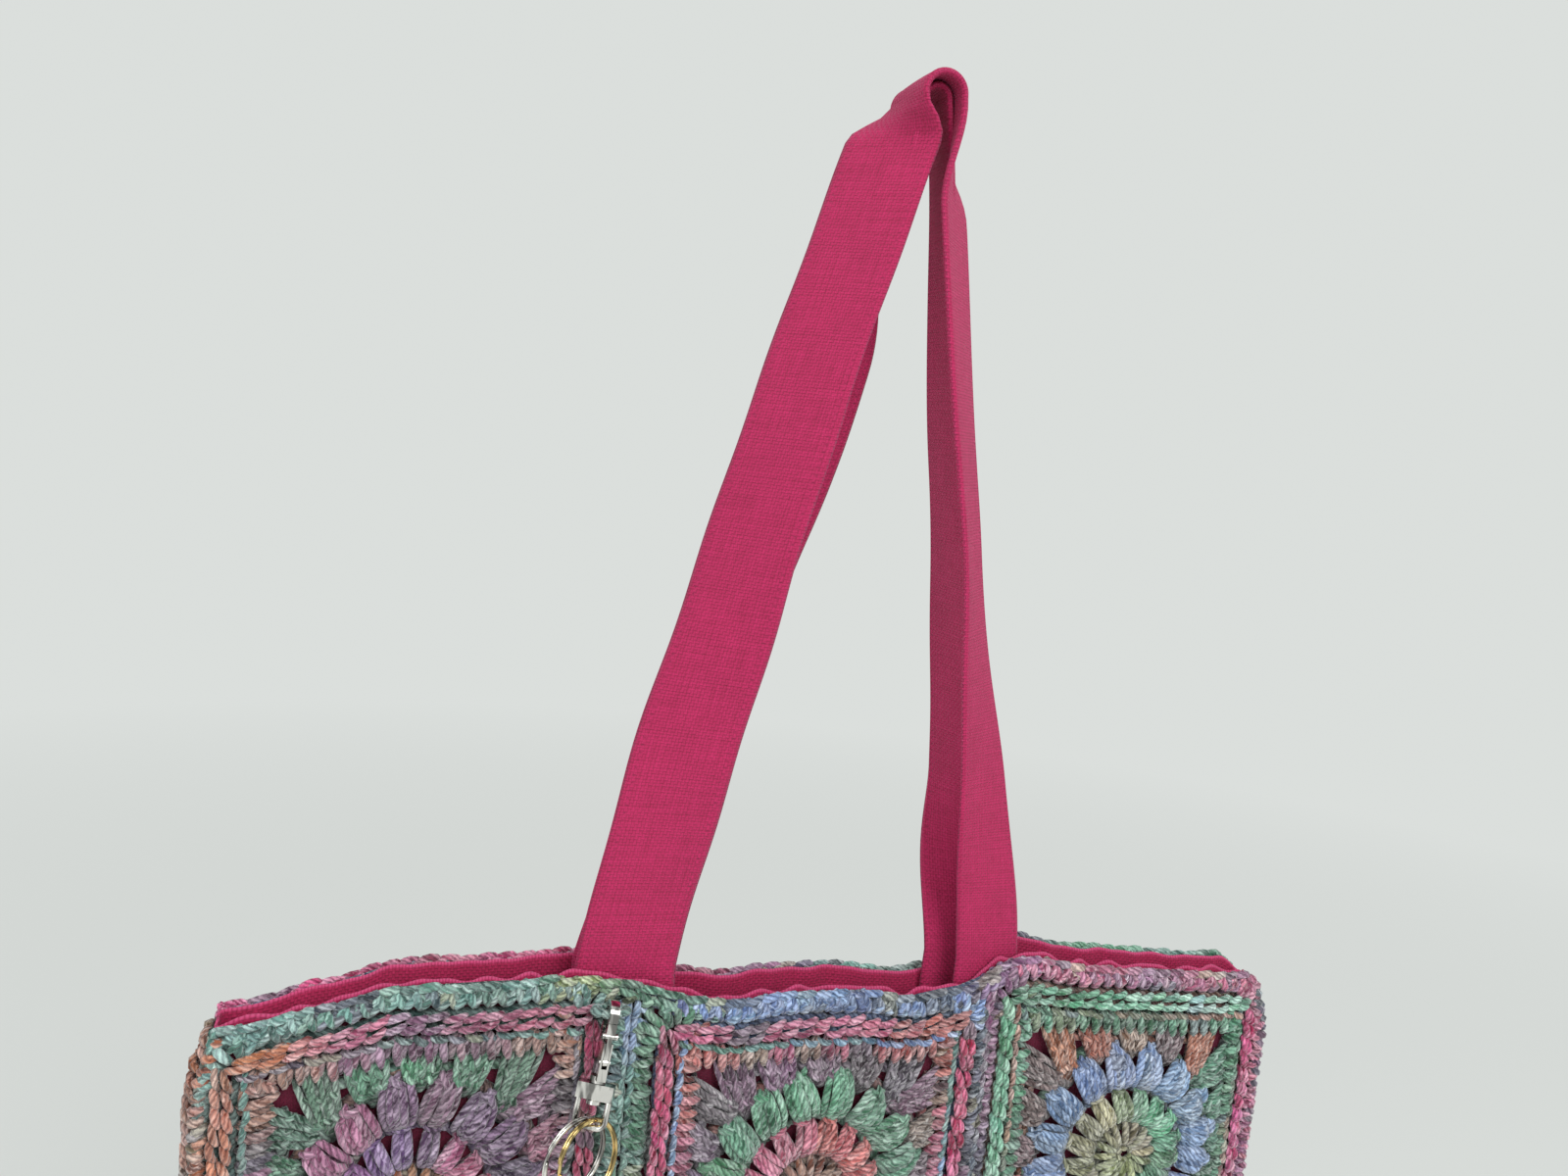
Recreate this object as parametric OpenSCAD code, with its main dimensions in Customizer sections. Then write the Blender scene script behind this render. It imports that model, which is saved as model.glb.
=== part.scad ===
// Canvas tote bag covered in crocheted squares, with a key clip on its edge.
// The origin is the middle of the hook that the straps hang from. +X runs across
// the bag, -Y is the front and +Z is up.

/* [Bag] */
// Distance from one crochet square to the next
square_pitch = 130; // [110:1:150]
// From the hook down to the canvas rim
strap_drop = 298; // [240:2:360]
// How far the hook sits to the right of the bag's middle
hook_side = 13; // [-15:1:15]
// Height of the canvas rim above the crochet edge
rim_stand = 2; // [1:0.5:9]
// Half of the mouth's opening, at the middle of the rim
mouth_half = 8; // [7.5:0.5:14]
// How much the panels close from the rim to the bottom
mouth_taper = 3; // [1.5:0.5:4]
// How much the panels close from the middle to the sides
side_taper = 3; // [1.5:0.5:4]

/* [Canvas] */
// Thickness of the canvas lining
canvas_t = 1.2; // [0.8:0.1:2]
// Height of the hem turned in at the rim
hem_h = 24; // [14:1:34]
// Width of the seam allowance down the sides
seam_w = 6; // [4:0.5:9]
// Clearance between layers that are sewn together
layer_gap = 0.15; // [0.1:0.05:0.3]

/* [Straps] */
// Width of a strap
strap_w = 32; // [26:1:38]
// Thickness of a strap
strap_t = 2.2; // [1.6:0.1:2.4]
// Length of a strap's sewn end below the rim
strap_tail = 45; // [30:1:60]
// Radius of the hook that the inner strap hangs on
hook_r = 3; // [2.5:0.1:4]
// Clearance between the two straps where they lie over the hook
strap_nest_gap = 0.8; // [0.7:0.1:1.4]
// Clearance between a strap and its sewn end, at the rim where it folds
strap_fold_gap = 0.5; // [0.4:0.05:0.8]

/* [Crochet] */
// Thickness of the crochet squares
crochet_t = 5.2; // [4:0.2:6]
// Width of the seam that joins two squares
join_w = 4; // [3:0.5:6]
// Distance from a square's edge to its raised chain
ridge_inset = 8; // [7:0.5:11]
// Width of the raised chain
ridge_w = 4; // [3:0.5:5]
// Height of the raised chain above the square
ridge_h = 1.6; // [1:0.2:2.4]
// Number of petals in a square's flower
petals = 16; // [12:1:20]
// Radius of the outer ring of petals
petal_ring_r = 33; // [30:0.5:36]
// Radius of an outer petal
petal_r = 6; // [5:0.2:7]
// Height of an outer petal above the square
petal_h = 3.6; // [2:0.2:4]
// Radius of the holes at the corners of a square's rounds
corner_hole_r = 3; // [2:0.2:3.6]

/* [Key clip] */
// Distance of the clip to the left of the bag's middle
clip_x = 71; // [69:0.5:74]
// Distance of the clip's yarn loop from the crochet
loop_reach = 7; // [6.5:0.5:9]
// Radius of the yarn
yarn_r = 1.6; // [1.2:0.1:1.8]
// Thickness of the clip's hook
hook_t = 3; // [2.4:0.1:3.4]
// Length of the hook, from its top to its collar
hook_len = 25; // [23:0.5:28]
// Outer radius of the hook's round top
hook_out_r = 4.6; // [4.4:0.1:5.2]
// Inner radius of the hook's round top
hook_in_r = 2.6; // [2.2:0.1:2.8]
// Outer width of the swivel eye
eye_w = 12; // [11:0.5:14]
// Radius of the swivel eye's wire
eye_wire_r = 1; // [0.8:0.1:1.2]
// Outer radius of a key ring
ring_r = 13; // [11:0.5:14]
// Width of a key ring's section, across its wall
ring_wall = 1.5; // [1.2:0.1:1.8]
// Thickness of a key ring along its axis
ring_t = 1.8; // [1.4:0.1:2]
// Running clearance in the clip
clip_gap = 0.3; // [0.2:0.05:0.4]
// Width of the charm
charm_w = 8; // [7:0.5:9]
// Length of the charm
charm_len = 19; // [15:0.5:24]
// Thickness of the charm
charm_t = 3.4; // [2.6:0.2:4]

/* [Hidden] */
$fn = 48;
columns = 3;
rows = 3;
squares = columns * rows;

canvas_red = [0.72, 0.16, 0.38];
canvas_shade = [0.6, 0.1, 0.3];
yarn_colors = [[0.45, 0.62, 0.55], [0.72, 0.48, 0.6], [0.58, 0.66, 0.78]];
seam_color = [0.5, 0.55, 0.55];
nickel = [0.78, 0.78, 0.8];
gold = [0.82, 0.68, 0.35];
charm_pink = [0.85, 0.35, 0.6];

// Places worked out from the sizes above
half_pitch = square_pitch / 2;
panel_h = rows * square_pitch;
rim_z = -strap_drop;
crochet_top_z = rim_z - rim_stand - join_w / 2;
bottom_z = crochet_top_z - panel_h;
canvas_top = panel_h + join_w / 2 + rim_stand;
bottom_half = mouth_half - mouth_taper;
lean = asin(mouth_taper / panel_h);
turn = asin(side_taper / square_pitch);
square_w = square_pitch - join_w;
canvas_end = half_pitch - join_w / 2 - layer_gap;
crochet_in = canvas_t + layer_gap;
overlap = 0.2;

// Holds a column's flat frame: X across from its middle, Y inward, Z up from the bottom
module on_front(column) {
    translate([-hook_side, -bottom_half, bottom_z]) rotate([lean, 0, 0])
        translate([column * half_pitch, 0, 0]) rotate([0, 0, column * turn])
            translate([column * half_pitch, 0, 0]) children();
}

module on_back(column) {
    mirror([0, 1, 0]) on_front(column) children();
}

// Lays an outline drawn in X and Y, rising in Z, onto a panel with its rise outward
module laid_flat(inset = 0) {
    translate([0, -inset, 0]) rotate([90, 0, 0]) children();
}

// The canvas lining is one sheet a side, with its folds at the joins of the squares
module canvas_sheet(column) {
    side = column == 0 ? half_pitch + overlap : half_pitch;
    left = column < 0 ? -canvas_end : -side;
    right = column > 0 ? canvas_end : side;
    laid_flat() translate([left, 0, 0]) cube([right - left, canvas_top, canvas_t]);
}

module canvas_front() {
    color(canvas_red) for (c = [-1:1]) on_front(c) canvas_sheet(c);
}

module canvas_back() {
    color(canvas_red) for (c = [-1:1]) on_back(c) canvas_sheet(c);
}

module hem_sheet(column) {
    side = column == 0 ? half_pitch + overlap : half_pitch - overlap;
    left = column < 0 ? -canvas_end : -side;
    right = column > 0 ? canvas_end : side;
    translate([left, layer_gap, canvas_top - hem_h]) cube([right - left, canvas_t, hem_h]);
}

module hem_front() {
    color(canvas_shade) for (c = [-1:1]) on_front(c) hem_sheet(c);
}

module hem_back() {
    color(canvas_shade) for (c = [-1:1]) on_back(c) hem_sheet(c);
}

// The seam allowance stands between the two sheets, from the bottom seam to the hem
module side_seam_face(column) {
    low = seam_w + layer_gap;
    right = column > 0 ? canvas_end : -canvas_end + seam_w;
    translate([right - seam_w, layer_gap, low]) cube([seam_w, canvas_t / 2, canvas_top - hem_h - low - layer_gap]);
}

module canvas_side_seam(column) {
    color(canvas_shade) hull() {
        on_front(column) side_seam_face(column);
        on_back(column) side_seam_face(column);
    }
}

module canvas_side_seam_left() {
    canvas_side_seam(-1);
}

module canvas_side_seam_right() {
    canvas_side_seam(1);
}

module bottom_seam_face(column) {
    side = column == 0 ? half_pitch + overlap : half_pitch;
    left = column < 0 ? -canvas_end : -side;
    right = column > 0 ? canvas_end : side;
    translate([left, layer_gap, 0]) cube([right - left, canvas_t / 2, seam_w]);
}

module canvas_bottom_seam() {
    color(canvas_shade) hull() for (c = [-1:1]) {
        on_front(c) bottom_seam_face(c);
        on_back(c) bottom_seam_face(c);
    }
}

// Straps: each leg rises from the rim at a join of the squares, turns edge to front and
// meets the other leg in a round bend over the hook. A ring is cut level through a leg.
tail_in = canvas_t + 2 * layer_gap + side_taper * strap_w / 2 / square_pitch;
strap_base_y = mouth_half - tail_in - strap_t / 2;
strap_base_z = rim_z + strap_fold_gap;
inner_bend_r = hook_r + strap_t / 2;
outer_bend_r = inner_bend_r + strap_t + strap_nest_gap;
leg_rings = 40;
bend_rings = 12;
bend_cut = 0.15;

function smooth(a, b, t) = let (u = min(1, max(0, (t - a) / (b - a)))) u * u * (3 - 2 * u);

// A leg's course is [its turn at half height, how far it bows to its side there]
front_left = [42, 4];
front_right = [66, 3];
back_left = [15, -11];
back_right = [86, 0];
// How far the front strap bows forward and the back strap backward
front_depth_bow = 10;
back_depth_bow = 8.5;
// A leg turns first by this share of its height, and again between these shares
front_turned = 0.5;
back_turned = 0.4;
front_last_turn = [0.85, 1];
back_last_turn = [0.7, 0.95];
// Share of its width that the inner strap gathers by on the hook
hook_gather = 0.4;

// A leg at t, from 0 at the rim to 1 at the hook: [x, y, turn, half width]. Side is -1 or 1
function front_leg(side, t) = let (course = side < 0 ? front_left : front_right) [
    (half_pitch - side * hook_side) * (1 - t) + outer_bend_r * t + course[1] * sin(180 * t),
    strap_base_y * (1 - t) + front_depth_bow * sin(180 * t),
    course[0] * smooth(0, front_turned, t)
        + (90 - course[0]) * smooth(front_last_turn[0], front_last_turn[1], t),
    strap_w / 2
];
function back_leg(side, t) = let (course = side < 0 ? back_left : back_right) [
    (half_pitch - side * hook_side) * (1 - t) + inner_bend_r * t + course[1] * sin(180 * t),
    strap_base_y * (1 - t) + back_depth_bow * sin(180 * t),
    course[0] * smooth(0, back_turned, t)
        + (90 - course[0]) * smooth(back_last_turn[0], back_last_turn[1], t),
    strap_w / 2 * (1 - hook_gather * smooth(0.6, 0.9, t))
];

// Four corners of a level cut through the right-hand leg; the outer face looks to -Y
function leg_ring(leg, t) = let (
    z = strap_base_z * (1 - t),
    along = [cos(leg[2]), sin(leg[2])],
    out = [sin(leg[2]), -cos(leg[2])],
    middle = [leg[0], -leg[1]]
) [for (k = [[-1, -1], [1, -1], [1, 1], [-1, 1]])
    let (p = middle + k[0] * leg[3] * along - k[1] * strap_t / 2 * out) [p[0], p[1], z]];

// The bend's inner side is drawn a little small, so that the hook's seat can be cut round
function bend_ring(r, half_w, angle) = [for (k = [[-1, 1], [1, 1], [1, -1], [-1, -1]])
    let (d = r + k[1] * strap_t / 2 - (k[1] < 0 && angle > 0 && angle < 180 ? bend_cut : 0))
        [d * cos(angle), k[0] * half_w, d * sin(angle)]];

function mirrored(ring) = [for (p = ring) [-p[0], p[1], p[2]]];

// Closes a row of four-cornered rings into one solid
module swept(rings) {
    n = len(rings);
    polyhedron(
        points = [for (ring = rings) each ring],
        faces = concat(
            [[0, 1, 2, 3]],
            [for (i = [0:n - 2]) for (k = [0:3]) for (half = [0, 1]) let (
                a = 4 * i + k,
                b = 4 * i + (k + 1) % 4
            ) half == 0 ? [a, b + 4, b] : [a, a + 4, b + 4]],
            [[for (k = [3:-1:0]) 4 * n - 4 + k]]
        )
    );
}

// Each list of legs has one place for every ring, from the rim up
module strap_loop(left_legs, right_legs, bend_r) {
    half_w = right_legs[leg_rings][3];
    right = [for (i = [0:leg_rings - 1]) leg_ring(right_legs[i], i / leg_rings)];
    bend = [for (i = [0:bend_rings]) bend_ring(bend_r, half_w, 180 * i / bend_rings)];
    left = [for (i = [leg_rings - 1:-1:0]) mirrored(leg_ring(left_legs[i], i / leg_rings))];
    difference() {
        swept(concat(right, bend, left));
        rotate([90, 0, 0]) cylinder(r = bend_r - strap_t / 2, h = 2 * strap_w, center = true);
    }
}

module front_strap() {
    left = [for (i = [0:leg_rings]) front_leg(-1, i / leg_rings)];
    right = [for (i = [0:leg_rings]) front_leg(1, i / leg_rings)];
    color(canvas_red) strap_loop(left, right, outer_bend_r);
}

module back_strap() {
    left = [for (i = [0:leg_rings]) back_leg(-1, i / leg_rings)];
    right = [for (i = [0:leg_rings]) back_leg(1, i / leg_rings)];
    color(canvas_red) mirror([0, 1, 0]) strap_loop(left, right, inner_bend_r);
}

// The sewn ends lie inside the hem, across the join of two columns
module strap_end() {
    translate([-hook_side, -bottom_half, bottom_z]) rotate([lean, 0, 0])
        for (s = [-1, 1]) translate([s * half_pitch - strap_w / 2, tail_in, canvas_top - strap_tail])
            cube([strap_w, strap_t, strap_tail]);
}

module front_strap_ends() {
    color(canvas_shade) strap_end();
}

module back_strap_ends() {
    color(canvas_shade) mirror([0, 1, 0]) strap_end();
}

// A crochet square: a flower of round petals inside a raised square chain
inner_ring_r = petal_ring_r * 0.56;
inner_petal_r = petal_r * 0.62;
heart_r = inner_ring_r - inner_petal_r - 1;
corner_hole = square_w / 2 - ridge_inset - 11;
heart_dip = 1.2;

module petal_ring(ring_radius, r, rise) {
    for (i = [0:petals - 1]) rotate(360 * (i + 0.5) / petals)
        translate([ring_radius, 0, crochet_t + rise - r]) sphere(r);
}

module chain_frame() {
    outer = square_w / 2 - ridge_inset + ridge_w / 2;
    difference() {
        translate([-outer, -outer, 0]) cube([2 * outer, 2 * outer, crochet_t + ridge_h]);
        translate([ridge_w - outer, ridge_w - outer, -1])
            cube([2 * (outer - ridge_w), 2 * (outer - ridge_w), crochet_t + ridge_h + 2]);
    }
}

module crochet_square() {
    intersection() {
        translate([-square_w, -square_w, 0]) cube([2 * square_w, 2 * square_w, 2 * square_w]);
        difference() {
            union() {
                translate([-square_w / 2, -square_w / 2, 0]) cube([square_w, square_w, crochet_t]);
                chain_frame();
                petal_ring(petal_ring_r, petal_r, petal_h);
                petal_ring(inner_ring_r, inner_petal_r, petal_h * 0.6);
            }
            for (x = [-1, 1]) for (y = [-1, 1])
                translate([x * corner_hole, y * corner_hole, -1]) cylinder(r = corner_hole_r, h = crochet_t + 2);
            translate([0, 0, crochet_t - heart_dip]) cylinder(r = heart_r - 1, h = crochet_t);
        }
    }
}

module placed_square(i) {
    row = floor(i / columns);
    color(yarn_colors[(i + row) % 3])
        laid_flat(crochet_in) translate([0, panel_h - (row + 0.5) * square_pitch, 0]) crochet_square();
}

module front_square(i) {
    on_front(i % columns - 1) placed_square(i);
}

module back_square(i) {
    on_back(i % columns - 1) placed_square(i);
}

// The squares are crocheted together by narrow seams, upright and level
join_body = join_w - 2 * layer_gap;

module upright_join() {
    laid_flat(crochet_in) translate([-join_body / 2, join_w / 2 + layer_gap, 0])
        cube([join_body, panel_h - join_w - 2 * layer_gap, crochet_t]);
}

module level_joins() {
    length = square_w;
    laid_flat(crochet_in) for (row = [1:rows - 1])
        translate([-length / 2, row * square_pitch - join_body / 2, 0]) cube([length, join_body, crochet_t]);
}

module upright_place(column) {
    translate([-hook_side, -bottom_half, bottom_z]) rotate([lean, 0, 0])
        translate([column * half_pitch, 0, 0]) rotate([0, 0, column * turn / 2]) children();
}

module front_joins() {
    for (s = [-1, 1]) upright_place(s) upright_join();
    for (c = [-1:1]) on_front(c) level_joins();
}

module front_square_joins() {
    color(seam_color) front_joins();
}

module back_square_joins() {
    color(seam_color) mirror([0, 1, 0]) front_joins();
}

// The edging runs along the top of the squares, with a hole behind the yarn loop
module edging_strip(column) {
    side = column == 0 ? half_pitch + overlap : half_pitch;
    left = column < 0 ? -half_pitch + join_w / 2 + layer_gap : -side;
    right = column > 0 ? half_pitch - join_w / 2 - layer_gap : side;
    laid_flat(crochet_in) translate([left, panel_h - join_w / 2 + layer_gap, 0])
        cube([right - left, join_w - layer_gap, crochet_t]);
}

module front_edging() {
    color(seam_color) for (c = [-1:1]) on_front(c) edging_strip(c);
}

module back_edging() {
    color(seam_color) for (c = [-1:1]) on_back(c) edging_strip(c);
}

// The front and back are closed along the sides and the bottom by wider seams
module side_join_face(column) {
    middle = column * half_pitch;
    laid_flat(crochet_in) translate([middle - join_body / 2, -join_w / 2, 0])
        cube([join_body, panel_h + join_w, crochet_t]);
}

module crochet_side_join(column) {
    color(seam_color) hull() {
        on_front(column) side_join_face(column);
        on_back(column) side_join_face(column);
    }
}

module crochet_side_join_left() {
    crochet_side_join(-1);
}

module crochet_side_join_right() {
    crochet_side_join(1);
}

module bottom_join_face(column) {
    side = column == 0 ? half_pitch + overlap : half_pitch;
    left = column < 0 ? -half_pitch + join_w / 2 : -side;
    right = column > 0 ? half_pitch - join_w / 2 : side;
    laid_flat(crochet_in) translate([left, -join_w / 2, 0])
        cube([right - left, join_w / 2 - layer_gap, crochet_t]);
}

module crochet_bottom_join() {
    color(seam_color) hull() for (c = [-1:1]) {
        on_front(c) bottom_join_face(c);
        on_back(c) bottom_join_face(c);
    }
}

// Key clip. Its frame's origin is the middle of the yarn loop that it hangs on, Z runs
// up the clip and -Y outward. It leans sideways, and outward over the squares.
clip_lean = 10;
clip_tilt = 12;
clip_y = -(mouth_half + crochet_in + crochet_t + loop_reach);
clip_z = crochet_top_z - join_w;
loop_half = hook_t / 2 + 4;
hook_low = hook_out_r - hook_len;
slot_low = hook_low + 4;
slot_top = hook_low + 12;
gate_pin_z = hook_low + 6;
gate_pin_r = 0.6;
rail_middle = (hook_in_r + hook_out_r) / 2;
gate_top = -2.2;
eye_h = 5;
eye_top = hook_low - 1.5;
pin_r = 1.5;
pin_head_r = 2.4;
pin_head_h = 1.2;
eye_leg_x = eye_w / 2 - eye_wire_r;
eye_low = eye_top - 14;
eye_corner_r = 2.4;
eye_turn = -20;
ring_turn = 34;
ring_spread = 8;
ring_side = ring_t / 2 + clip_gap / 2 + 0.15;
ring_drop = ring_r - ring_wall - eye_wire_r - clip_gap - 0.2;

module on_clip() {
    translate([-clip_x - hook_side, clip_y, clip_z]) rotate([0, clip_lean, 0]) rotate([-clip_tilt, 0, 0]) children();
}

// Draws a side view, outline X to the clip's Y and outline Y to its Z, of a given width
module side_on(width) {
    rotate([90, 0, 90]) translate([0, 0, -width / 2]) linear_extrude(width) children();
}

module yarn_loop() {
    bar_y = clip_y;
    root_y = bar_y + loop_reach - layer_gap;
    color(yarn_colors[0]) translate([-clip_x - hook_side, 0, clip_z]) {
        translate([-loop_half, bar_y, 0]) rotate([0, 90, 0]) cylinder(r = yarn_r, h = 2 * loop_half);
        for (s = [-1, 1]) translate([s * loop_half, bar_y, 0]) {
            sphere(yarn_r);
            rotate([-90, 0, 0]) cylinder(r = yarn_r, h = root_y - bar_y);
        }
    }
}

// The hook is a flat casting: a round top, a spine behind and a slotted block below
module clip_hook() {
    color(nickel) on_clip() difference() {
        union() {
            side_on(hook_t) difference() {
                union() {
                    circle(hook_out_r);
                    translate([-hook_out_r, hook_low]) square([2 * hook_out_r, -hook_low]);
                }
                circle(hook_in_r);
                translate([-hook_in_r, slot_top]) square([2 * hook_in_r, -slot_top]);
                translate([-hook_out_r - 1, slot_top]) square([hook_out_r, gate_top + 0.2 - slot_top]);
            }
            translate([0, 0, eye_top + clip_gap]) cylinder(r = 2.7, h = hook_low - eye_top - clip_gap + 1);
        }
        // slot for the gate's foot, open to the front
        translate([-hook_t / 4 - clip_gap / 2, -hook_out_r - 1, slot_low])
            cube([hook_t / 2 + clip_gap, hook_out_r + 2, slot_top - slot_low + 1]);
        translate([-hook_t, -rail_middle, gate_pin_z]) rotate([0, 90, 0])
            cylinder(r = gate_pin_r, h = 2 * hook_t);
    }
}

// The gate closes the front of the hook; its foot turns on a pin inside the slot
module clip_gate() {
    foot = hook_t / 2;
    color(nickel) on_clip() difference() {
        union() {
            side_on(foot) {
                translate([-rail_middle, gate_pin_z]) circle(1.3);
                translate([-rail_middle - 1, gate_pin_z]) square([2, gate_top - gate_pin_z - 1]);
            }
            side_on(hook_t) translate([-rail_middle - 1, slot_top + 1.6])
                square([2, gate_top - slot_top - 1.6]);
            // thumb knobs on both sides
            translate([-hook_t / 2 - 1, -rail_middle, gate_top - 4]) rotate([0, 90, 0])
                cylinder(r = 1.1, h = hook_t + 2);
        }
        translate([-hook_t, -rail_middle, gate_pin_z]) rotate([0, 90, 0])
            cylinder(r = gate_pin_r + 0.1, h = 2 * hook_t);
    }
}

module gate_pin() {
    color(nickel) on_clip() translate([-hook_t / 2 - 0.3, -rail_middle, gate_pin_z]) rotate([0, 90, 0])
        cylinder(r = gate_pin_r, h = hook_t + 0.6);
}

module swivel_pin() {
    low = eye_top - eye_h - clip_gap - pin_head_h;
    color(nickel) on_clip() {
        translate([0, 0, low]) cylinder(r = pin_r, h = eye_top + clip_gap - low);
        translate([0, 0, low]) cylinder(r = pin_head_r, h = pin_head_h);
    }
}

module on_eye() {
    on_clip() rotate([0, 0, eye_turn]) children();
}

// The swivel eye is a block on the pin with a squared wire loop below it
module swivel_eye() {
    bar_z = eye_low + eye_corner_r;
    color(nickel) on_eye() {
        difference() {
            translate([-eye_w / 2, -2.3, eye_top - eye_h]) cube([eye_w, 4.6, eye_h]);
            translate([0, 0, eye_top - eye_h - 1]) cylinder(r = pin_r + clip_gap / 2, h = eye_h + 2);
        }
        for (s = [-1, 1]) {
            translate([s * eye_leg_x, 0, bar_z]) cylinder(r = eye_wire_r, h = eye_top - eye_h - bar_z + 1);
            translate([s * (eye_leg_x - eye_corner_r), 0, bar_z]) rotate([90, 0, 0])
                rotate([0, 0, s > 0 ? -90 : 180]) rotate_extrude(angle = 90)
                    translate([eye_corner_r, 0]) circle(eye_wire_r);
        }
        translate([eye_corner_r - eye_leg_x, 0, eye_low]) rotate([0, 90, 0])
            cylinder(r = eye_wire_r, h = 2 * (eye_leg_x - eye_corner_r));
    }
}

// Each key ring hangs over the eye's lower bar; side is -1 or 1 along the rings' axis
module on_ring(side) {
    on_clip() translate([0, 0, eye_low]) rotate([0, -side * ring_spread, 0]) rotate([0, 0, ring_turn])
        translate([0, -side * ring_side, -ring_drop]) rotate([90, 0, 0]) children();
}

module key_ring() {
    groove = 0.25;
    rotate_extrude() difference() {
        translate([ring_r - ring_wall, -ring_t / 2]) square([ring_wall, ring_t]);
        translate([ring_r, 0]) rotate(45) square(groove * sqrt(2), center = true);
    }
}

module silver_ring() {
    color(nickel) on_ring(-1) key_ring();
}

module gold_ring() {
    color(gold) on_ring(1) key_ring();
}

// A plain rounded tag with its hole round the silver ring's lowest part
charm_hole_r = 2.2;
charm_hang = ring_r - ring_wall - 2 * clip_gap;

module charm() {
    r = charm_w / 2;
    reach = charm_len - 2 * r;
    color(charm_pink) on_ring(-1) translate([0, -charm_hang, 0]) rotate([0, 90, 0])
        translate([0, -charm_hole_r, -charm_t / 2]) difference() {
            union() {
                cylinder(r = r, h = charm_t);
                translate([-r, -reach, 0]) cube([2 * r, reach, charm_t]);
                translate([0, -reach, 0]) cylinder(r = r, h = charm_t);
            }
            translate([0, 0, -1]) cylinder(r = charm_hole_r, h = charm_t + 2);
        }
}

canvas_front();
canvas_back();
hem_front();
hem_back();
canvas_side_seam_left();
canvas_side_seam_right();
canvas_bottom_seam();
front_strap();
back_strap();
front_strap_ends();
back_strap_ends();
for (i = [0:squares - 1]) front_square(i);
for (i = [0:squares - 1]) back_square(i);
front_square_joins();
back_square_joins();
front_edging();
back_edging();
crochet_side_join_left();
crochet_side_join_right();
crochet_bottom_join();
yarn_loop();
clip_hook();
clip_gate();
gate_pin();
swivel_pin();
swivel_eye();
silver_ring();
gold_ring();
charm();
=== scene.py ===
from functools import partialmethod

import bpy
import numpy as np
from mathutils import Matrix
from numpy.random import default_rng


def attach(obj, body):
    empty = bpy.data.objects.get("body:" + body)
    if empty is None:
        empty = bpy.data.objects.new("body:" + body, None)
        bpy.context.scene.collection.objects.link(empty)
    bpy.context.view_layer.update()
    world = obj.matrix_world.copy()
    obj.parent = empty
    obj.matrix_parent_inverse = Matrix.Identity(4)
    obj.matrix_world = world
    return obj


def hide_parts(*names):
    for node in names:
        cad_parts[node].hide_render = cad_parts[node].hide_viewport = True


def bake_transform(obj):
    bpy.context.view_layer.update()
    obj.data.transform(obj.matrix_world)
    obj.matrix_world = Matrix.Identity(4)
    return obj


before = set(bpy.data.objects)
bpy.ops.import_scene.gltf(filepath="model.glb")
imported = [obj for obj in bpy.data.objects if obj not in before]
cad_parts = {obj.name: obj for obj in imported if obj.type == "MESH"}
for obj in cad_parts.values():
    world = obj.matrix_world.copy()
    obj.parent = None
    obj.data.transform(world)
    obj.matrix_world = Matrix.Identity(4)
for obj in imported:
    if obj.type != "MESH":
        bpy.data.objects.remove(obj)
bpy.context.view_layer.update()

# ------------------------------
# How the bag hangs
# The bag is flat cloth that hangs by two straps from one hook. Its two faces
# lean apart towards the mouth, its sides turn in, its top is drawn up where the
# straps are sewn, and the middle squares and the top corners sink.
# ------------------------------
hook_side = 0.013
square_pitch = 0.130
half_pitch = square_pitch / 2
bag_half = 3 * half_pitch
bottom_z = -0.692
bottom_half = 0.005
crochet_top = 0.390
lean = 0.003 / crochet_top
turn_in = 0.003 / square_pitch
top_lift = 0.002
middle_sink, middle_shift = 0.0055, 0.0075
left_dip, right_dip = 0.0024, 0.0030
left_corner_sink, right_corner_sink, right_tip_sink = 0.0135, 0.0045, 0.0045
left_lift, right_lift = 0.002, 0.005
left_spread, side_tuck, right_pull, corner_pull = 0.006, 0.0035, 0.003, 0.006


def smooth(low, high, x):
    """Smoothstep: 0 below low, 1 above high, and 3u^2 - 2u^3 between them."""
    u = np.clip((x - low) / (high - low), 0, 1)
    return u * u * (3 - 2 * u)


def bump(x, middle, width):
    """Bell curve of height 1 about a middle."""
    return np.exp(-(((x - middle) / width) ** 2))


def shift_up(across, up):
    """How far a point of the bag hangs above its place in a flat bag: a sum of smoothsteps for the middle
    column and the corners, and of bell curves at the straps, each fading down the bag by a smoothstep."""
    high = smooth(0.20, 0.38, up)
    shoulder = smooth(0.290, 0.360, up)
    edge = smooth(0.360, crochet_top, up)
    middle = smooth(-0.072, -0.048, across) - smooth(0.050, 0.068, across)
    left = 0.45 * smooth(0.135, 0.162, -across) + 0.55 * smooth(0.160, 0.188, -across)
    dips = left_dip * bump(across, -0.034, 0.012) + right_dip * bump(across, 0.032, 0.013)
    return (
        high * (top_lift - middle_sink * middle)
        - left_corner_sink * left * shoulder
        - right_corner_sink * smooth(0.105, 0.178, across) * shoulder
        - right_tip_sink * smooth(0.178, 0.192, across) * edge
        + edge * (left_lift * bump(across, -0.082, 0.020) + right_lift * bump(across, 0.084, 0.016))
        - dips * smooth(0.335, 0.368, up)
    )


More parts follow.
